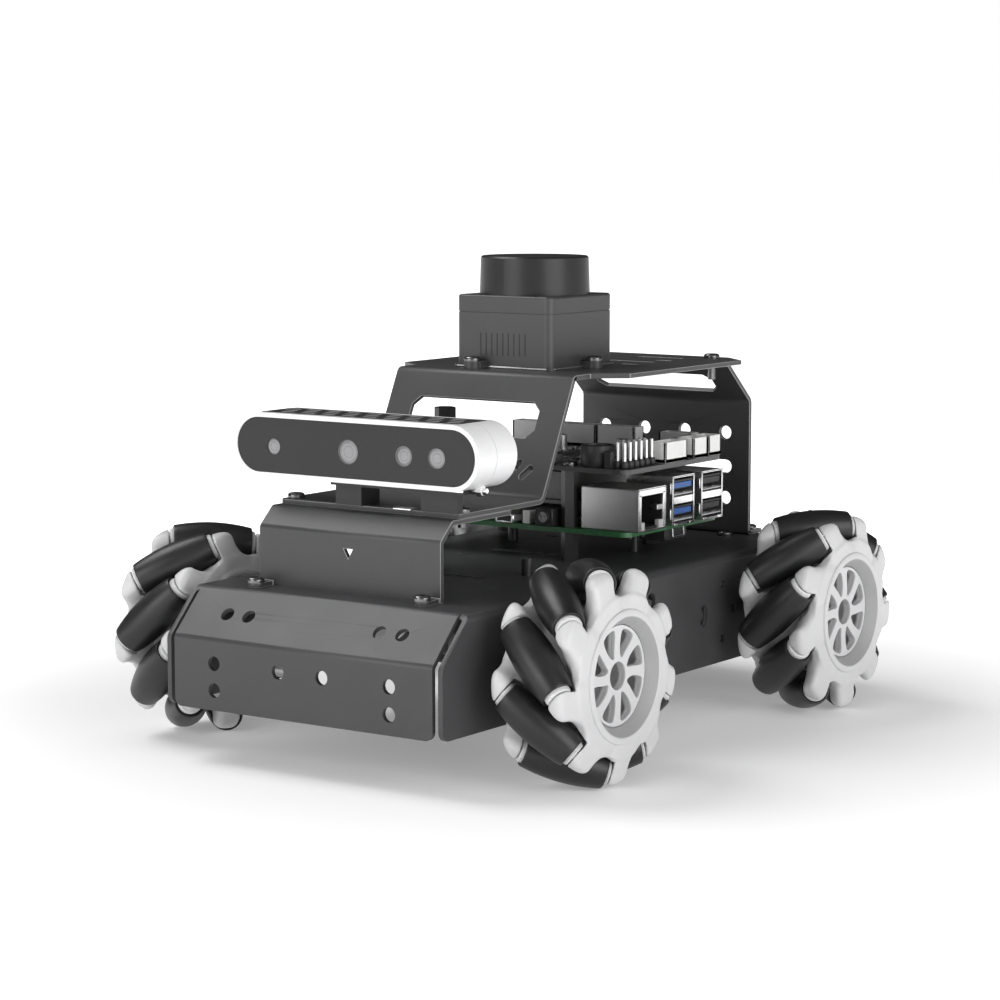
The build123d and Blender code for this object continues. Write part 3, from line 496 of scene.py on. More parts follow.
def hub_distance(points):
    """Moulded hub: a ring with fingers at both ends of every roller, less the roller pockets."""
    radius = np.hypot(points[:, 0], points[:, 2])
    height = points[:, 1]
    fingers = np.full(len(points), 1e9)
    for centre, pin in pins:
        for end in (1, -1):
            fingers = np.minimum(fingers, finger_distance(points, centre, pin, end))
    fingers = soft_max(fingers, radius - HUB_RADIUS, 2.0)
    slope = FACE_SLOPE * np.clip(radius - SLOPE_START, 0, None)
    fingers = soft_max(fingers, np.abs(height) + slope - FINGER_FACE, 2.2)
    whole = soft_min(fingers, polygon_distance(radius, height, RING), 1.6)
    recess = RECESS_RADIUS + FRONT_SPREAD * np.clip(height - FRONT_START, 0, None)
    recess += BACK_SPREAD * np.clip(-height - BACK_START, 0, None)
    whole = np.maximum(whole, 0.8 * (recess - radius))
    for centre, pin in pins:
        whole = soft_max(whole, -pocket_distance(points, centre, pin), 0.5)
    return whole


def crossings(field, axis, cells):
    """Sign changes along an axis: the four cells round each, its place, and which way it faces."""
    one, two = [k for k in range(3) if k != axis]
    low = np.take(field, range(field.shape[axis] - 1), axis)
    high = np.take(field, range(1, field.shape[axis]), axis)
    where = np.argwhere((low < 0) != (high < 0))
    inner = (where[:, one] > 0) & (where[:, one] < cells[one])
    inner &= (where[:, two] > 0) & (where[:, two] < cells[two])
    where = where[inner]
    a, b = low[tuple(where.T)], high[tuple(where.T)]
    crossing = where.astype(float)
    crossing[:, axis] += a / (a - b)
    ring = []
    for back_one, back_two in ((0, 0), (1, 0), (1, 1), (0, 1)):
        cell = where.copy()
        cell[:, one] -= back_one
        cell[:, two] -= back_two
        ring.append(np.ravel_multi_index(tuple(cell.T), cells))
    ring = np.stack(ring, 1)
    turn = (a < 0) == (axis == 1)
    return ring, crossing, turn


def relaxed(points, faces, distance):
    """Points moved towards the middle of their neighbours, then back onto the surface."""
    near = np.zeros_like(points)
    share = np.zeros(len(points))
    for k in range(4):
        for other in (faces[:, (k + 1) % 4], faces[:, k - 1]):
            np.add.at(near, faces[:, k], points[other])
            np.add.at(share, faces[:, k], 1)
    points = 0.45 * points + 0.55 * near / share[:, None]
    value = distance(points)
    steps = np.eye(3) * 0.05
    slope = np.stack([(distance(points + d) - distance(points - d)) / 0.1 for d in steps], 1)
    size = np.maximum((slope**2).sum(1), 0.25)
    return points - slope * np.clip(value / size, -0.3, 0.3)[:, None]


def surface_mesh(distance, half, step):
    """Points and faces of a distance field's zero level, one point in each crossed cell."""
    axes = [np.arange(-h, h + step, step) for h in half]
    grid = np.stack(np.meshgrid(*axes, indexing="ij"), -1).reshape(-1, 3)
    batches = [distance(grid[start : start + 200000]) for start in range(0, len(grid), 200000)]
    field = np.concatenate(batches).reshape([len(axis) for axis in axes])
    cells = tuple(n - 1 for n in field.shape)
    total = np.zeros((int(np.prod(cells)), 3))
    count = np.zeros(len(total))
    rings = []
    for axis in range(3):
        ring, crossing, turn = crossings(field, axis, cells)
        for column in ring.T:
            np.add.at(total, column, crossing)
            np.add.at(count, column, 1)
        ring[turn] = ring[turn][:, ::-1]
        rings.append(ring)
    used = np.flatnonzero(count)
    number = np.full(len(count), -1)
    number[used] = np.arange(len(used))
    points = total[used] / count[used, None] * step - np.array(half)
    faces = number[np.concatenate(rings)]
    for _ in range(3):
        points = relaxed(points, faces, distance)
    return points, faces


def circle(radius, corners):
    steps = [2 * pi * k / corners for k in range(corners)]
    return [(radius * cos(angle), radius * sin(angle)) for angle in steps]


def disc_outline(radius, depth, chamfer):
    """Points and faces of the spoked disc: curved petal openings round a bore."""
    curve = bpy.data.curves.new("disc_outline", "CURVE")
    curve.dimensions = "2D"
    curve.fill_mode = "BOTH"
    curve.extrude = depth / 2 - chamfer
    curve.bevel_depth = chamfer
    curve.bevel_resolution = 1
    curve.offset = -chamfer
    loops = [circle(radius, 96), circle(BORE_RADIUS, 48)]
    for spoke in range(SPOKES):
        turn = radians(360 / SPOKES * spoke + PETAL_TURN)
        loops.append(
            [(x * cos(turn) - y * sin(turn), x * sin(turn) + y * cos(turn)) for x, y in PETAL]
        )
    for number, loop in enumerate(loops):
        rounded = number > 1
        spline = curve.splines.new("NURBS" if rounded else "POLY")
        spline.points.add(len(loop) - 1)
        for point, (x, y) in zip(spline.points, loop):
            point.co = (x, y, 0, 1)
        spline.use_cyclic_u = True
        if rounded:
            spline.order_u = 3
            spline.resolution_u = 4
    holder = bpy.data.objects.new("disc_outline", curve)
    mesh = bpy.data.meshes.new_from_object(holder)
    points = [tuple(vertex.co) for vertex in mesh.vertices]
    faces = [tuple(face.vertices) for face in mesh.polygons]
    bpy.data.objects.remove(holder)
    bpy.data.meshes.remove(mesh)
    bpy.data.curves.remove(curve)
    return points, faces


def turned_over(lower):
    """The upper end of a profile whose ends are alike."""
    return [(radius, -height) for radius, height in reversed(lower)]


hub_points, hub_faces = surface_mesh(
    hub_distance, (32.0, 14.8, 32.0), 0.45
)
outer_disc = disc_outline(DISC_RADIUS, 1.4, 0.14)
inner_disc = disc_outline(DISC_RADIUS + 0.9, 1.3, 0.1)
facing_out = Matrix(((1, 0, 0, 0), (0, 0, 1, 0), (0, 1, 0, 0), (0, 0, 0, 1)))

RUBBER_END = 12.2
CORE_END = 13.3
CORE_RADIUS = 3.9
end_radius = float(barrel(RUBBER_END))
tread_heights = np.linspace(-RUBBER_END + 0.35, RUBBER_END - 0.35, 25)
lower_end = [(CORE_RADIUS - 0.05, 0.55 - RUBBER_END), (end_radius - 0.55, 0.35 - RUBBER_END)]
lower_end += [(end_radius - 0.42, -RUBBER_END), (end_radius - 0.16, -RUBBER_END)]
lower_end += [(end_radius, 0.14 - RUBBER_END)]
tread_side = [(float(barrel(height)), float(height)) for height in tread_heights]
core_half = [(1.4, -CORE_END), (3.35, -CORE_END), (3.75, 0.35 - CORE_END), (3.75, 0.6 - CORE_END)]
core_half += [(3.62, 0.62 - CORE_END), (3.62, 0.78 - CORE_END), (CORE_RADIUS, 0.8 - CORE_END)]
core_half += [(CORE_RADIUS, -3.0)]

roller_rubber = Build()
roller_rubber.lathe(lower_end + tread_side + turned_over(lower_end), Matrix.Identity(4), 0, 56)
roller_core = Build()
roller_core.lathe(core_half + turned_over(core_half), Matrix.Identity(4), 1, 40, closed=True)

# ---------------------------------------------------------------- wheels

PIN_REACH = 15.4
PIN_RADIUS = 1.25
SHAFT_RADIUS = 2.7
ADAPTOR_RADIUS = 6.0
CHASSIS_WALL = 52.3


def reversed_faces(faces, flip):
    """Faces, with their corners in the opposite order where flip is true."""
    return [tuple(face)[::-1] if flip else face for face in faces]


def hub_shell(corner, sx, sy, place):
    name = f"{corner}_hub_shell"
    mesh = bpy.data.meshes.new(name)
    points = hub_points * np.array([sx, sy, 1]) * MM
    mesh.from_pydata(points.tolist(), [], reversed_faces(hub_faces.tolist(), sx * sy < 0))
    mesh.materials.append(hub_nylon)
    make_object(name, mesh, f"{corner}_wheel", (f"{corner}_hub",), place, 62)


def hub_disc(corner, sx, sy, place):
    """The two spoked discs, the rim round them and the hub's back."""
    mirror = Matrix.Diagonal((sx, sy, 1, 1))
    flip = sx * sy > 0
    disc = Build()
    for (points, faces), height in ((outer_disc, DISC_OUTER - 0.7), (inner_disc, DISC_INNER + 0.65)):
        lift = mirror @ Matrix.Translation((0, height, 0)) @ facing_out
        disc.add(points, reversed_faces(faces, flip), 0, lift)
    rim = Build()
    rim.lathe(RIM, Matrix.Identity(4), turns=96, slots=RIM_SLOTS, closed=True)
    disc.add(rim.points, reversed_faces(rim.faces, flip), 0, mirror @ facing_out)
    disc.slots[-len(rim.slots) :] = rim.slots
    back = Build()
    back.lathe(BACK, Matrix.Identity(4), turns=64, closed=True)
    backward = mirror @ Matrix.Diagonal((1, -1, 1, 1)) @ facing_out
    disc.add(back.points, reversed_faces(back.faces, flip), 0, backward)
    disc.piece(
        f"{corner}_hub_disc", f"{corner}_wheel", [hub_nylon, recess_painted_shade],
        at=place, sharp=30,
    )


def roller_pins(corner, sx, sy, place):
    mirror = Matrix.Diagonal((sx, sy, 1, 1))
    metal = Build()
    for middle, pin in pins:
        ends = [mirror @ Vector(middle + side * pin * PIN_REACH) for side in (-1, 1)]
        metal.rod(*ends, PIN_RADIUS)
    metal.piece(f"{corner}_roller_pins", f"{corner}_wheel", [steel], at=place)


def axle_shaft(corner, sy, place):
    """Motor shaft, six-sided adaptor and the round end that carries the hub."""
    wall = CHASSIS_WALL - axle.y
    shaft = Build()
    shaft.rod((0, sy * (wall - 12), 0), (0, sy * wall, 0), SHAFT_RADIUS, 0)
    shaft.rod((0, sy * wall, 0), (0, sy * -12.05, 0), ADAPTOR_RADIUS, 1, turns=6, cut=0.3)
    shaft.rod((0, sy * -12.05, 0), (0, sy * 5.3, 0), 4.0, 1, turns=32, cut=0.4)
    shaft.piece(f"{corner}_axle", f"{corner}_wheel", [steel, anodised], at=place)


def tread(corner, number, centre):
    """One roller, its rubber and core turned onto its own pin."""
    joint = joints[f"{corner}_roller_{number}_spin"]
    origin, pin = Vector(joint["pos_m"]), Vector(joint["axis"]).normalized()
    outward = (origin - centre).normalized()
    turn = Matrix((outward, pin.cross(outward), pin)).transposed().to_4x4()
    roller = Build()
    for part in (roller_rubber, roller_core):
        roller.add(part.points, part.faces, part.slots[0], turn)
    roller.piece(
        f"{corner}_tread_{number}", f"{corner}_roller_{number}",
        [rubber, core_nylon], (f"{corner}_roller_{number}",), Matrix.Translation(origin),
    )


for corner, (sx, sy) in CORNERS.items():
    centre = Vector(joints[f"{corner}_wheel_spin"]["pos_m"])
    place = Matrix.Translation(centre)
    hub_shell(corner, sx, sy, place)
    hub_disc(corner, sx, sy, place)
    roller_pins(corner, sx, sy, place)
    axle_shaft(corner, sy, place)
    for number in range(1, 10):
        tread(corner, number, centre)

# ---------------------------------------------------------------- carried-over parts

SHEET_PARTS = ("chassis_plate", "camera_bracket", "upper_bracket", "rear_panel")
EDGE_BEVEL = 0.00022
WELD_REACH = 0.000005

node_materials = {
    **{name: paint for name in SHEET_PARTS},
    "camera_body": white_shell,
    "camera_window": window_glass,
    "camera_mount": moulded_black,
    "scanner_base": scanner_body,
    "scanner_cover": scanner_dark,
    "scanner_rotor": moulded_black,
    "computer_board": solder_green,
    "cooler": anodised,
    "fan_rotor": moulded_black,
    "expansion_board": solder_black,
    "standoffs": spacer_black,
    "screws": black_oxide,
    "gear_motors": motor_can,
    "battery_pack": wrap,
    "computer_ports": tin,
    "expansion_parts": nylon_white,
}
for corner in CORNERS:
    node_materials[f"{corner}_hub"] = hub_nylon
    for number in range(1, 10):
        node_materials[f"{corner}_roller_{number}"] = rubber
for name, material in node_materials.items():
    for material_slot in frame["nodes"][name].material_slots:
        material_slot.material = material

# small bevels on the sheet parts' edges, in a lighter material that is a painted highlight
for name in SHEET_PARTS:
    node = frame["nodes"][name]
    weld = node.modifiers.new("weld", "WELD")
    weld.merge_threshold = WELD_REACH
    edges = node.modifiers.new("edges", "BEVEL")
    edges.width = EDGE_BEVEL
    edges.segments = 2
    edges.limit_method = "ANGLE"
    edges.angle_limit = radians(50)
    node.data.materials.append(painted_edge_highlight)
    edges.material = len(node.material_slots) - 1
    edges.harden_normals = True

# ---------------------------------------------------------------- computer board

# Sockets on the left edge are placed by x, depth behind their open face and height over the board.
low, high = (millimetres(corner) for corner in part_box("computer_board"))
front, left, top = high.x, high.y, high.z
rear, right = low.x, low.y
BOARD_THICKNESS = 1.5
face = left + 3.0
TIN, EDGE, BLACK, BLUE, GOLD, WHITE, GREY = range(7)
port_set = [tin, bright_edge, chip_black, tongue_blue, gold, nylon_white, nylon_grey]
ports = Build()


def side_block(x, depth, up, size, slot=BLACK, cut=0.12):
    """Block of a socket that opens to the left."""
    ports.block((x, face - depth, top + up), size, slot, cut)


def socket_shell(x, width, depth, height):
    """Folded metal shell with a bright lip round its opening."""
    wall, lip, raised = 0.4, 0.24, 0.05
    middle = raised + height / 2
    floor, roof = raised + wall / 2, raised + height - wall / 2
    for up in (floor, roof):
        side_block(x, depth / 2, up, (width, depth, wall), TIN)
    for side in (-1, 1):
        edge_x = x + side * (width - wall) / 2
        side_block(edge_x, depth / 2, middle, (wall, depth, height - 0.1), TIN)
        side_block(edge_x, lip / 2, middle, (wall + 0.25, lip, height), EDGE, 0.08)
    side_block(x, depth - wall / 2, middle, (width - 0.1, wall, height - 0.1), TIN)
    for up in (roof, floor):
        side_block(x, lip / 2, up, (width, lip, wall + 0.25), EDGE, 0.08)


def network_socket():
    """Wide socket with its plastic frame, key and eight contacts."""
    x, width, depth, height = front - 10.2, 16.0, 21.3, 13.4
    socket_shell(x, width, depth, height)
    side_block(x, 0.2, height - 1.1, (width - 0.6, 0.3, 2.0), EDGE, 0.08)
    for side in (-1, 1):
        side_block(x + side * 7.15, 0.2, 6.0, (1.5, 0.3, 11.6), EDGE, 0.08)
        side_block(x + side * 6.9, 9.0, 6.7, (1.2, 17.0, 12.4))
        side_block(x + side * 5.4, 1.0, 1.7, (2.4, 1.6, 2.6), GREY)
    side_block(x, 14.0, 6.7, (13.6, 6.0, 12.4))
    side_block(x, 8.0, 12.2, (13.6, 14.0, 1.2))
    side_block(x - 5.0, 1.6, 7.0, (3.0, 2.4, 1.7), TIN)
    side_block(x, 8.0, 0.8, (13.6, 14.0, 0.8))
    for contact in range(8):
        at = x - 3.6 + contact * 1.02
        ports.rod((at, face - 3.5, top + 11.4), (at, face - 10.5, top + 8.4), 0.18, GOLD, 8)


def data_sockets(x, tongue):
    """Two data sockets, one over the other, with their tongues, springs and contacts."""
    socket_shell(x, 13.2, 17.4, 15.6)
    side_block(x, 8.8, 7.9, (12.6, 17.0, 2.5), EDGE, 0.2)
    side_block(x, 13.0, 7.8, (12.4, 8.0, 15.0))
    for up in (3.7, 11.9):
        side_block(x, 5.2, up + 0.75, (10.8, 9.6, 1.9), tongue, 0.15)
        side_block(x, 5.4, up - 0.4, (10.0, 8.6, 0.35))
        side_block(x, 4.8, up + 2.15, (11.8, 9.0, 0.7))
        side_block(x, 4.8, up - 2.1, (11.8, 9.0, 0.5), GREY)
        for side in (-1, 1):
            side_block(x + side * 6.75, 2.0, up, (0.35, 2.6, 3.4), EDGE, 0.1)
            side_block(x + side * 2.6, 3.2, up - 1.7, (2.0, 4.0, 0.25), TIN, 0.06)
        for contact in (-3.5, -1.2, 1.2, 3.5):
            side_block(x + contact, 3.6, up - 0.25, (1.0, 5.0, 0.15), GOLD, 0.04)
    for side in (-1, 1):
        side_block(x + side * 4.6, 0.2, 0.3, (1.8, 0.5, 0.9), EDGE, 0.1)


def front_socket(y, width, depth, height):
    """Small socket that opens forward: shell, dark opening and bright lip."""
    x, lip_x = front + 1.2 - depth / 2, front + 1.16
    ports.block((x, y, top + height / 2 + 0.05), (depth, width, height), TIN, 0.5)
    opening = (0.2, width - 1.6, height - 1.2)
    ports.block((front + 1.14, y, top + height / 2 + 0.1), opening, BLACK, 0.08)
    for up in (0.5, height - 0.35):
        ports.block((lip_x, y, top + up), (0.2, width - 0.8, 0.3), EDGE, 0.05)
    for side in (-1, 1):
        lip_y = y + side * (width / 2 - 0.4)
        ports.block((lip_x, lip_y, top + height / 2), (0.2, 0.3, height - 0.9), EDGE, 0.05)


def sound_socket(y):
    ports.block((front - 4.8, y, top + 2.9), (11.0, 6.6, 5.7), BLACK, 0.3)
    up = top + 3.0
    ports.rod((front + 0.4, y, up), (front + 1.2, y, up), 2.4, BLACK, 28)
    ports.rod((front + 1.1, y, up), (front + 1.2, y, up), 1.7, GREY, 28, 0.02)


def ribbon_socket(x, y):
    ports.block((x, y, top + 2.7), (20.0, 2.6, 5.2), WHITE, 0.2)
    ports.block((x, y, top + 4.9), (20.4, 3.0, 0.9), BLACK, 0.2)


def pin_header(x, y):
    """Twenty pairs of pins that reach the upper board, with their ends under this one."""
    pitch = 2.54
    ports.block((x, y, top + 4.2), (5.0, 50.8, 8.4), BLACK, 0.2)
    for row in range(20):
        for side in (-1, 1):
            pin_x, pin_y = x + side * pitch / 2, y - 24.1 + row * pitch
            ports.block((pin_x, pin_y, top + 12.2), (0.62, 0.62, 11.2), GOLD, 0.1)
            ports.block((pin_x, pin_y, top - 2.2), (0.62, 0.62, 1.4), TIN, 0.15)


def card_slot(x, y):
    """Card slot under the board, with a wire clip at its mouth."""
    ports.block((x, y, top - 3.6), (13.4, 9.6, 4.0), BLACK, 0.25)
    clip_y, clip_z, radius = left - 1.2, top - 4.4, 0.22
    for side in (-1, 1):
        leg_x = x + side * 3.4
        ports.rod((leg_x, left - 1.4, top - 1.4), (leg_x, clip_y, clip_z), radius, EDGE, 8)
    ports.rod((x - 3.4, clip_y, clip_z), (x + 3.4, clip_y, clip_z), radius, EDGE, 8)


def solder_drop(x, y):
    drop = [(0, -1.3), (0.5, -1.2), (0.9, -0.5), (1.1, 0.0), (0, 0.1)]
    ports.lathe(drop, Matrix.Translation((front + x, left + y, top - 1.55)), TIN, 14)


network_socket()
for x, tongue in ((front - 29.1, BLUE), (front - 47.0, BLACK)):
    data_sockets(x, tongue)
# power and two displays
front_socket(right + 11.2, 9.0, 7.4, 3.2)
front_socket(right + 26.0, 7.0, 7.6, 3.1)
front_socket(right + 39.5, 7.0, 7.6, 3.1)
sound_socket(right + 54.3)
ribbon_socket(front - 10.9, right + 46.5)
pin_header(rear + 3.5, right + 32.5)
card_slot(front - 32.9, right + 78.1)
for x, y in ((-6.5, -3.0), (-14.2, -3.0), (-8.0, -12.0), (-46.0, -7.0), (-50.0, -15.0)):
    solder_drop(x, y)
ports.piece("board_sockets", "chassis", port_set, ("computer_ports",))

# ---------------------------------------------------------------- small parts on the boards

draw = random.Random(11)
SMALL_SIZES = ((1.6, 0.8), (1.0, 0.5), (2.0, 1.25))
BUZZER_CLEARANCE = 50


def scatter(build, number, across, along, board_top, sizes, tallest, slots, clear=None):
    """Small components at random places on a board, none of them near a clear place."""
    for _ in range(number):
        x, y = draw.uniform(*across), draw.uniform(*along)
        if clear and (x - clear[0]) ** 2 + (y - clear[1]) ** 2 < BUZZER_CLEARANCE:
            continue
        long, wide = draw.choice(sizes)
        if draw.random() < 0.5:
            long, wide = wide, long
        tall = draw.uniform(0.4, tallest)
        size = (long, wide, tall)
        build.block((x, y, board_top + tall / 2 + 0.02), size, draw.choice(slots), 0.08)


chips = Build()
for x, y, up, size, slot, cut in (
    (front - 9.0, right + 20.5, 0.75, (8.0, 8.0, 1.4), BLACK, 0.12),
    (front - 6.0, right + 31.0, 0.6, (4.0, 4.0, 1.0), BLACK, 0.1),
    (front - 49.5, right + 8.0, 1.0, (6.0, 11.0, 1.8), TIN, 0.2),
    (front - 14.5, right + 8.0, 0.6, (5.0, 5.0, 1.0), BLACK, 0.1),
    (front - 22.0, left - 24.5, 0.6, (7.0, 7.0, 1.1), BLACK, 0.1),
):
    chips.block((x, y, top + up), size, slot, cut)
scatter(
    chips, 110, (rear + 8, front - 2), (right + 2, left - 24), top, SMALL_SIZES, 0.8,
    (GREY, BLACK, TIN),
)
# a few flat ones underneath
for _ in range(14):
    x, y = draw.uniform(rear + 9, front - 3), draw.uniform(right + 4, left - 8)
    size = (draw.uniform(1, 3), draw.uniform(1, 3), 0.9)
    chips.block((x, y, top - BOARD_THICKNESS - 0.5), size, BLACK, 0.08)
chips.piece("board_chips", "chassis", port_set)

# ---------------------------------------------------------------- upper board

# Parts are placed from the board's front left corner: x and y from it, height over the board.
low, high = (millimetres(corner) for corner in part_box("expansion_board"))
deck_front, deck_left, deck_top = high.x, high.y, high.z
deck_rear, deck_right = low.x, low.y
upper = Build()


def on_deck(x, y, up=0.0):
    """Place on the upper board, from its front left corner."""
    return (deck_front + x, deck_left + y, deck_top + up)


def round_part(x, y, profile, slot, turns):
    upper.lathe(profile, Matrix.Translation(on_deck(x, y)), slot, turns)


def pin_with_collar(x, y):
    collar = [(0, 0.02), (1.0, 0.02), (1.22, 0.4), (1.22, 1.9), (1.0, 2.3), (0, 2.3)]
    round_part(x, y, collar, BLACK, 16)
    upper.rod(on_deck(x, y, 2.2), on_deck(x, y, 8.4), 0.55, TIN, 12, 0.2)


def plug_socket(x, y, size_x, size_y, height, slot):
    """Open-topped wire-to-board socket, with a row of contacts along its longer side."""
    wall, pitch = 0.8, 2.0
    up = height / 2 + 0.02
    upper.block(on_deck(x, y, 0.7), (size_x, size_y, 1.3), slot)
    for side in (-1, 1):
        upper.block(on_deck(x + side * (size_x - wall) / 2, y, up), (wall, size_y, height), slot)
        upper.block(on_deck(x, y + side * (size_y - wall) / 2, up), (size_x, wall, height), slot)
    room = max(size_x, size_y) - 2.4
    for contact in range(int(room / pitch) + 1):
        shift = contact * pitch - room // pitch
        place = (x + shift, y) if size_x > size_y else (x, y + shift)
        upper.block(on_deck(*place, 2.8), (0.6, 0.6, 3.6), TIN, 0.1)


def processor(x, y):
    """Square chip with eleven leads on each side."""
    upper.block(on_deck(x, y, 0.7), (12.0, 12.0, 1.35), BLACK, 0.15)
    for side in (-1, 1):
        for lead in range(-5, 6):
            upper.block(on_deck(x + side * 6.5, y + lead, 0.3), (1.2, 0.4, 0.25), TIN, 0.05)
            upper.block(on_deck(x + lead, y + side * 6.5, 0.3), (0.4, 1.2, 0.25), TIN, 0.05)


BUZZER = (-6.3, -14.8)
buzzer_body = [(0, 0.02), (5.3, 0.02), (5.4, 0.2), (5.4, 6.5), (5.2, 6.8), (4.5, 6.8), (4.4, 6.2)]
round_part(*BUZZER, buzzer_body + [(1.2, 6.1), (1.1, 3.0), (0, 3.0)], BLACK, 48)
for column in range(6):
    for row in range(2):
        pin_with_collar(-11.4 + (column - 2.5) * 3.2, -4.3 + (row - 0.5) * 2.54)
upper.block(on_deck(-1.9, -7.6, 2.8), (2.6, 2.6, 5.5), BLACK, 0.2)
# plug sockets along the left edge, then along the rear edge
for x, width in ((-30.3, 13.4), (-45.4, 8.6), (-54.5, 7.8)):
    plug_socket(x, -3.7, width, 6.6, 6.6, WHITE)
rear_row = deck_rear - deck_front + 3.6
for y, width, height in ((-14.5, 12.0, 6.8), (-37.4, 15.0, 7.6), (-52.6, 15.0, 7.6), (-69.6, 18.0, 7.6)):
    plug_socket(rear_row, y, 6.0, width, height, GREY)
processor(-28.1, -34.9)
# power socket with its opening, and a relay
upper.block(on_deck(-5.6, -33.9, 1.3), (7.0, 9.0, 2.5), TIN, 0.3)
upper.block(on_deck(-2.4, -33.9, 1.3), (0.8, 7.4, 1.5), BLACK, 0.1)
upper.block(on_deck(-10.1, -53.9, 2.0), (9.0, 12.0, 3.9), BLACK, 0.25)
capacitor = [(0, 0.02), (2.4, 0.02), (2.4, 0.8), (2.0, 0.9), (2.0, 4.9), (1.7, 5.2), (0, 5.2)]
for x, y in ((-40.0, -20.0), (-40.0, -27.0), (-18.0, -50.0), (-30.0, -56.0), (-42.0, -52.0)):
    round_part(x, y, capacitor, TIN, 28)
scatter(
    upper, 120, (deck_rear + 8, deck_front - 1.5), (deck_right + 2, deck_left - 8), deck_top,
    (*SMALL_SIZES, (3.0, 1.6)), 1.1, (GREY, BLACK, TIN, WHITE), on_deck(*BUZZER),
)
# tall hexagonal post
upper.rod(on_deck(-5.1, -72.9), on_deck(-5.1, -72.9, 15.8), 3.5, BLACK, 6, 0.25)
upper.piece("upper_board_parts", "chassis", port_set, ("expansion_parts",))

# ---------------------------------------------------------------- camera

low, high = (millimetres(corner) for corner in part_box("camera_window"))
window_x, window_z = high.x, (low.z + high.z) / 2
lenses = Build()


def dome_height(radius, edge):
    """Height of a lens's slightly domed glass at a distance from its middle."""
    return 0.22 + 0.08 * (1 - (radius / edge) ** 2)


def lens(y, radius):
    """Barrel in the window, domed glass and two fine rings on it."""
    quarter_turn = Matrix.Rotation(pi / 2, 4, "Y")
    at = Matrix.Translation((window_x - 0.55, y, window_z - 0.4)) @ quarter_turn
    housing = [(0, -0.6), (radius, -0.6), (radius, 0.3), (radius - 0.12, 0.5)]
    housing += [(radius - 0.45, 0.5), (radius - 0.5, 0.2), (0, 0.2)]
    lenses.lathe(housing, at, 1, 48)
    edge = radius - 0.55
    steps = [edge * (1 - step / 6) for step in range(7)]
    glass = [(0, 0.15), (radius - 0.5, 0.2)] + [(r, dome_height(r, edge)) for r in steps]
    lenses.lathe(glass, at, 0, 48)
    for share in (0.45, 0.72):
        ring = radius * share
        rise = dome_height(ring, edge)
        line = [(ring - 0.07, rise), (ring - 0.04, rise + 0.03)]
        line += [(ring + 0.04, rise + 0.03), (ring + 0.07, rise)]
        lenses.lathe(line, at, 1, 40)


for y, radius in ((-29.8, 3.0), (-1.9, 3.8), (18.3, 3.1), (30.0, 3.3)):
    lens(y, radius)
lenses.piece("camera_lenses", "chassis", [lens_glass, lens_ring])

# hinge pin, nut, bright strip and clip under the camera
low, high = (millimetres(corner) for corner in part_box("camera_mount"))
hinge_z, hinge_x = high.z - 0.7, low.x + 6.5
hinge = Build()
hinge.rod((hinge_x, high.y - 5.1, hinge_z), (hinge_x, high.y + 0.2, hinge_z), 0.78, 0)
nut_ends = [(hinge_x, high.y - inward, hinge_z) for inward in (3.1, 1.1)]
hinge.rod(*nut_ends, 1.6, 1, turns=6, cut=0.15)
hinge.block((high.x + 0.1, high.y - 17.5, hinge_z), (0.3, 25.0, 1.0), 0, 0.1)
hinge.block((high.x - 1.6, high.y - 27.0, low.z + 0.35), (3.4, 6.4, 0.5), 0)
hinge.piece("camera_hinge", "chassis", [bright_edge, nylon_white])

# dark strip with lighter slits on the camera's top: it stands for the vents and is also painted shade,
# the top's darkness under dim light from above
low, high = (millimetres(corner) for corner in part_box("camera_body"))
strip_x = (low.x + high.x) / 2
strip_size = (high.x - low.x - 5.0, high.y - low.y - 18.0, 0.1)
vents_and_shade = Build()
# dark sheet over most of the top: vents and painted shade
vents_and_shade.block((strip_x, 0, high.z + 0.02), strip_size, 0, 0.04)
for row in (-4.2, 0.0, 4.2):
    for slit in range(-4, 5):
        slit_y = slit * 7.6 + row * 0.5
        vents_and_shade.block((strip_x + row, slit_y, high.z + 0.07), (0.9, 4.6, 0.12), 1, 0.04)
vents_and_shade.piece("camera_vents_and_shade", "chassis", [moulded_black, nylon_grey])

# ---------------------------------------------------------------- scanner

low, high = (millimetres(corner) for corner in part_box("scanner_base"))
scanner_x = joints["scanner_spin"]["pos_m"][0] / MM

# upright grooves in the front of the base
grooves = Build()
for groove in range(-4, 5):
    grooves.block((scanner_x + 18.0, groove * 2.1, low.z + 7.6), (0.16, 0.42, 7.0), 0, 0.07)
grooves.piece("scanner_grooves", "chassis", [moulded_black])

# thin bright gasket between the base and the roof
GASKET_HALF = 18.85
gasket = Build()
for side in (-1, 1):
    across = side * GASKET_HALF
    gasket.block((scanner_x + across, 0, low.z + 0.55), (0.2, 34.0, 0.4), 0, 0.06)
    gasket.block((scanner_x, across, low.z + 0.55), (34.0, 0.2, 0.4), 0, 0.06)
gasket.piece("scanner_gasket", "chassis", [tin])

# ---------------------------------------------------------------- stage, lights and camera

# These lengths are metres.
FLOOR_HALF = 12.0
# distance from the middle over which the floor's glow grows, and its strengths; the weak glow near the
# middle is a painted shadow under the robot
GLOW_FROM, GLOW_TO = 0.10, 0.40
PAINTED_SHADOW_GLOW, GLOW_FULL = 0.25, 1.20
DIM, BRIGHT = 0.07, 0.30
AIM = (0, 0, 0.06)
CAMERA_PLACE = (0.73948, 0.50287, 0.18027)
CAMERA_YAW, CAMERA_PITCH = radians(-145.4387), radians(-7.0238)
CAMERA_LENS = 102.19


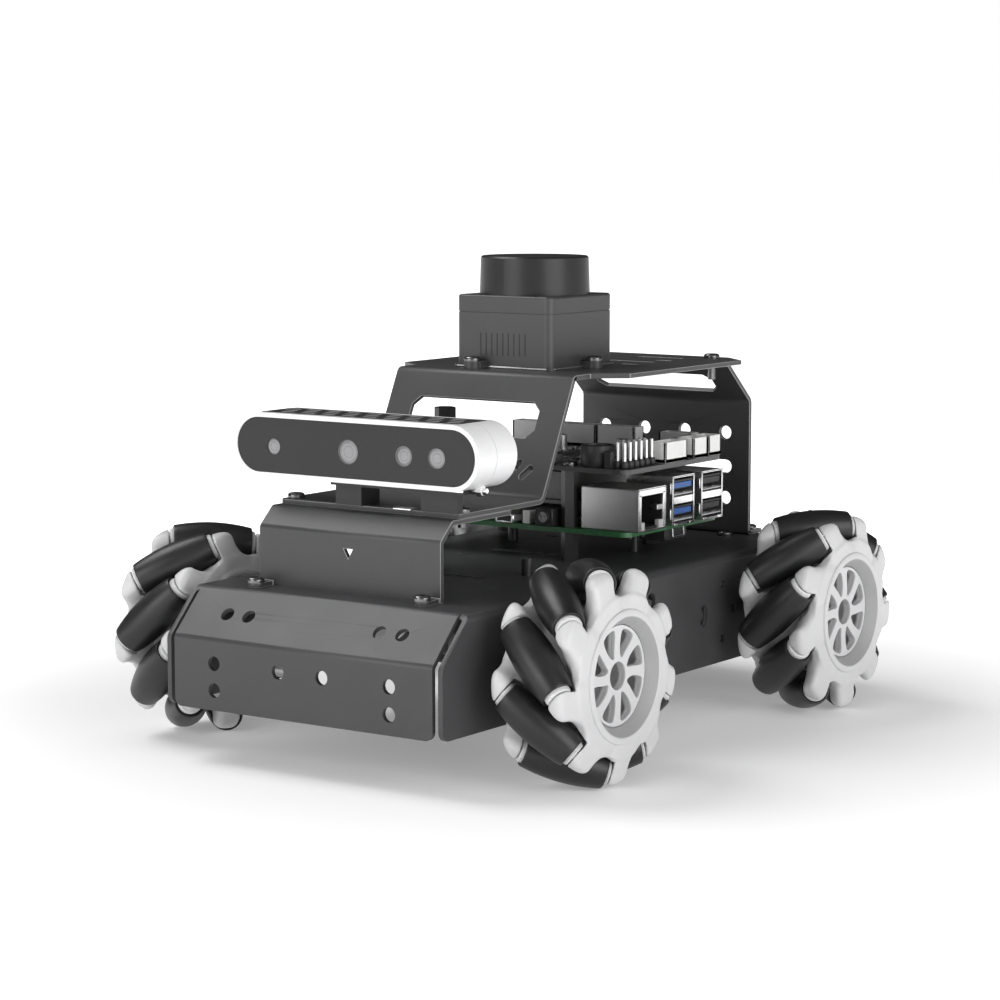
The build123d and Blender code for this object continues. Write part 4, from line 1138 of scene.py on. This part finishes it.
def pale_floor():
    """Floor that takes a soft shadow under the robot, deepened by a painted shadow where its glow is
    weak, and glows to plain white further out.
    """
    mesh = bpy.data.meshes.new("floor")
    corners = [(x * FLOOR_HALF, y * FLOOR_HALF, 0) for x, y in ((-1, -1), (1, -1), (1, 1), (-1, 1))]
    mesh.from_pydata(corners, [], [(0, 1, 2, 3)])
    material = finish_material(
        "pale_floor", grey(0.80), grey(0.82), 0.9, 0.02, cloud=3, grain=30, bump=0.0
    )
    tree = material.node_tree
    shader = tree.nodes["Principled BSDF"]
    set_inputs(shader, {"Emission Color": (1, 1, 1, 1), "Specular IOR Level": 0.1})
    place = new_node(tree, "ShaderNodeTexCoord")
    reach = new_node(tree, "ShaderNodeVectorMath", operation="LENGTH")
    # glow grows with distance from the middle: weak under the robot as a painted shadow
    glow = new_node(tree, "ShaderNodeMapRange", interpolation_type="SMOOTHSTEP")
    set_inputs(glow, {"From Min": GLOW_FROM, "From Max": GLOW_TO})
    set_inputs(glow, {"To Min": PAINTED_SHADOW_GLOW, "To Max": GLOW_FULL})
    tree.links.new(place.outputs["Object"], reach.inputs[0])
    tree.links.new(reach.outputs["Value"], glow.inputs["Value"])
    tree.links.new(glow.outputs["Result"], shader.inputs["Emission Strength"])
    mesh.materials.append(material)
    return add_object("floor", mesh)


def studio_world():
    """Dim surroundings, brighter towards the front left; the camera itself sees plain white."""
    world = bpy.data.worlds.new("studio")
    world.use_nodes = True
    tree = world.node_tree
    background = tree.nodes["Background"]
    direction = new_node(tree, "ShaderNodeTexCoord")
    front_left = new_node(tree, "ShaderNodeVectorMath", operation="DOT_PRODUCT")
    front_left.inputs[1].default_value = (0.25, 0.43, 0.0)
    tree.links.new(direction.outputs["Generated"], front_left.inputs[0])
    shifted = new_node(tree, "ShaderNodeMath", operation="ADD")
    shifted.inputs[1].default_value = 0.5
    tree.links.new(front_left.outputs["Value"], shifted.inputs[0])
    fade = colour_ramp(tree, 0.45, grey(DIM), 0.75, grey(BRIGHT))
    tree.links.new(shifted.outputs[0], fade.inputs["Fac"])
    ray = new_node(tree, "ShaderNodeLightPath")
    seen = new_node(tree, "ShaderNodeMix", data_type="RGBA")
    tree.links.new(ray.outputs["Is Camera Ray"], seen.inputs["Factor"])
    tree.links.new(fade.outputs["Color"], seen.inputs["A"])
    seen.inputs["B"].default_value = (1, 1, 1, 1)
    tree.links.new(seen.outputs["Result"], background.inputs["Color"])
    background.inputs["Strength"].default_value = 1.0
    return world


def soft_light(name, place, size, power):
    """Rectangular lamp aimed at the robot."""
    light = bpy.data.lights.new(name, "AREA")
    light.shape = "RECTANGLE"
    light.size, light.size_y = size
    light.energy = power
    lamp = add_object(name, light)
    lamp.location = place
    gaze = Vector(AIM) - Vector(place)
    lamp.rotation_euler = gaze.to_track_quat("-Z", "Y").to_euler()


def photo_camera():
    """Camera at the place that was solved from the photograph."""
    data = bpy.data.cameras.new("camera")
    data.lens = CAMERA_LENS
    data.sensor_width = 36.0
    data.clip_start = 0.01
    data.clip_end = 100.0
    camera = add_object("camera", data)
    camera.location = CAMERA_PLACE
    level = cos(CAMERA_PITCH)
    gaze = Vector((level * cos(CAMERA_YAW), level * sin(CAMERA_YAW), sin(CAMERA_PITCH)))
    camera.rotation_euler = gaze.to_track_quat("-Z", "Y").to_euler()
    return camera


pale_floor()
scene.world = studio_world()
soft_light("side_light", (0.35, 1.5, 0.55), (1.2, 1.0), 13.5)
soft_light("front_light", (1.45, -0.35, 0.50), (0.9, 0.8), 8.5)
soft_light("top_light", (0.24, -0.85, 1.30), (0.8, 0.8), 12)
scene.camera = photo_camera()
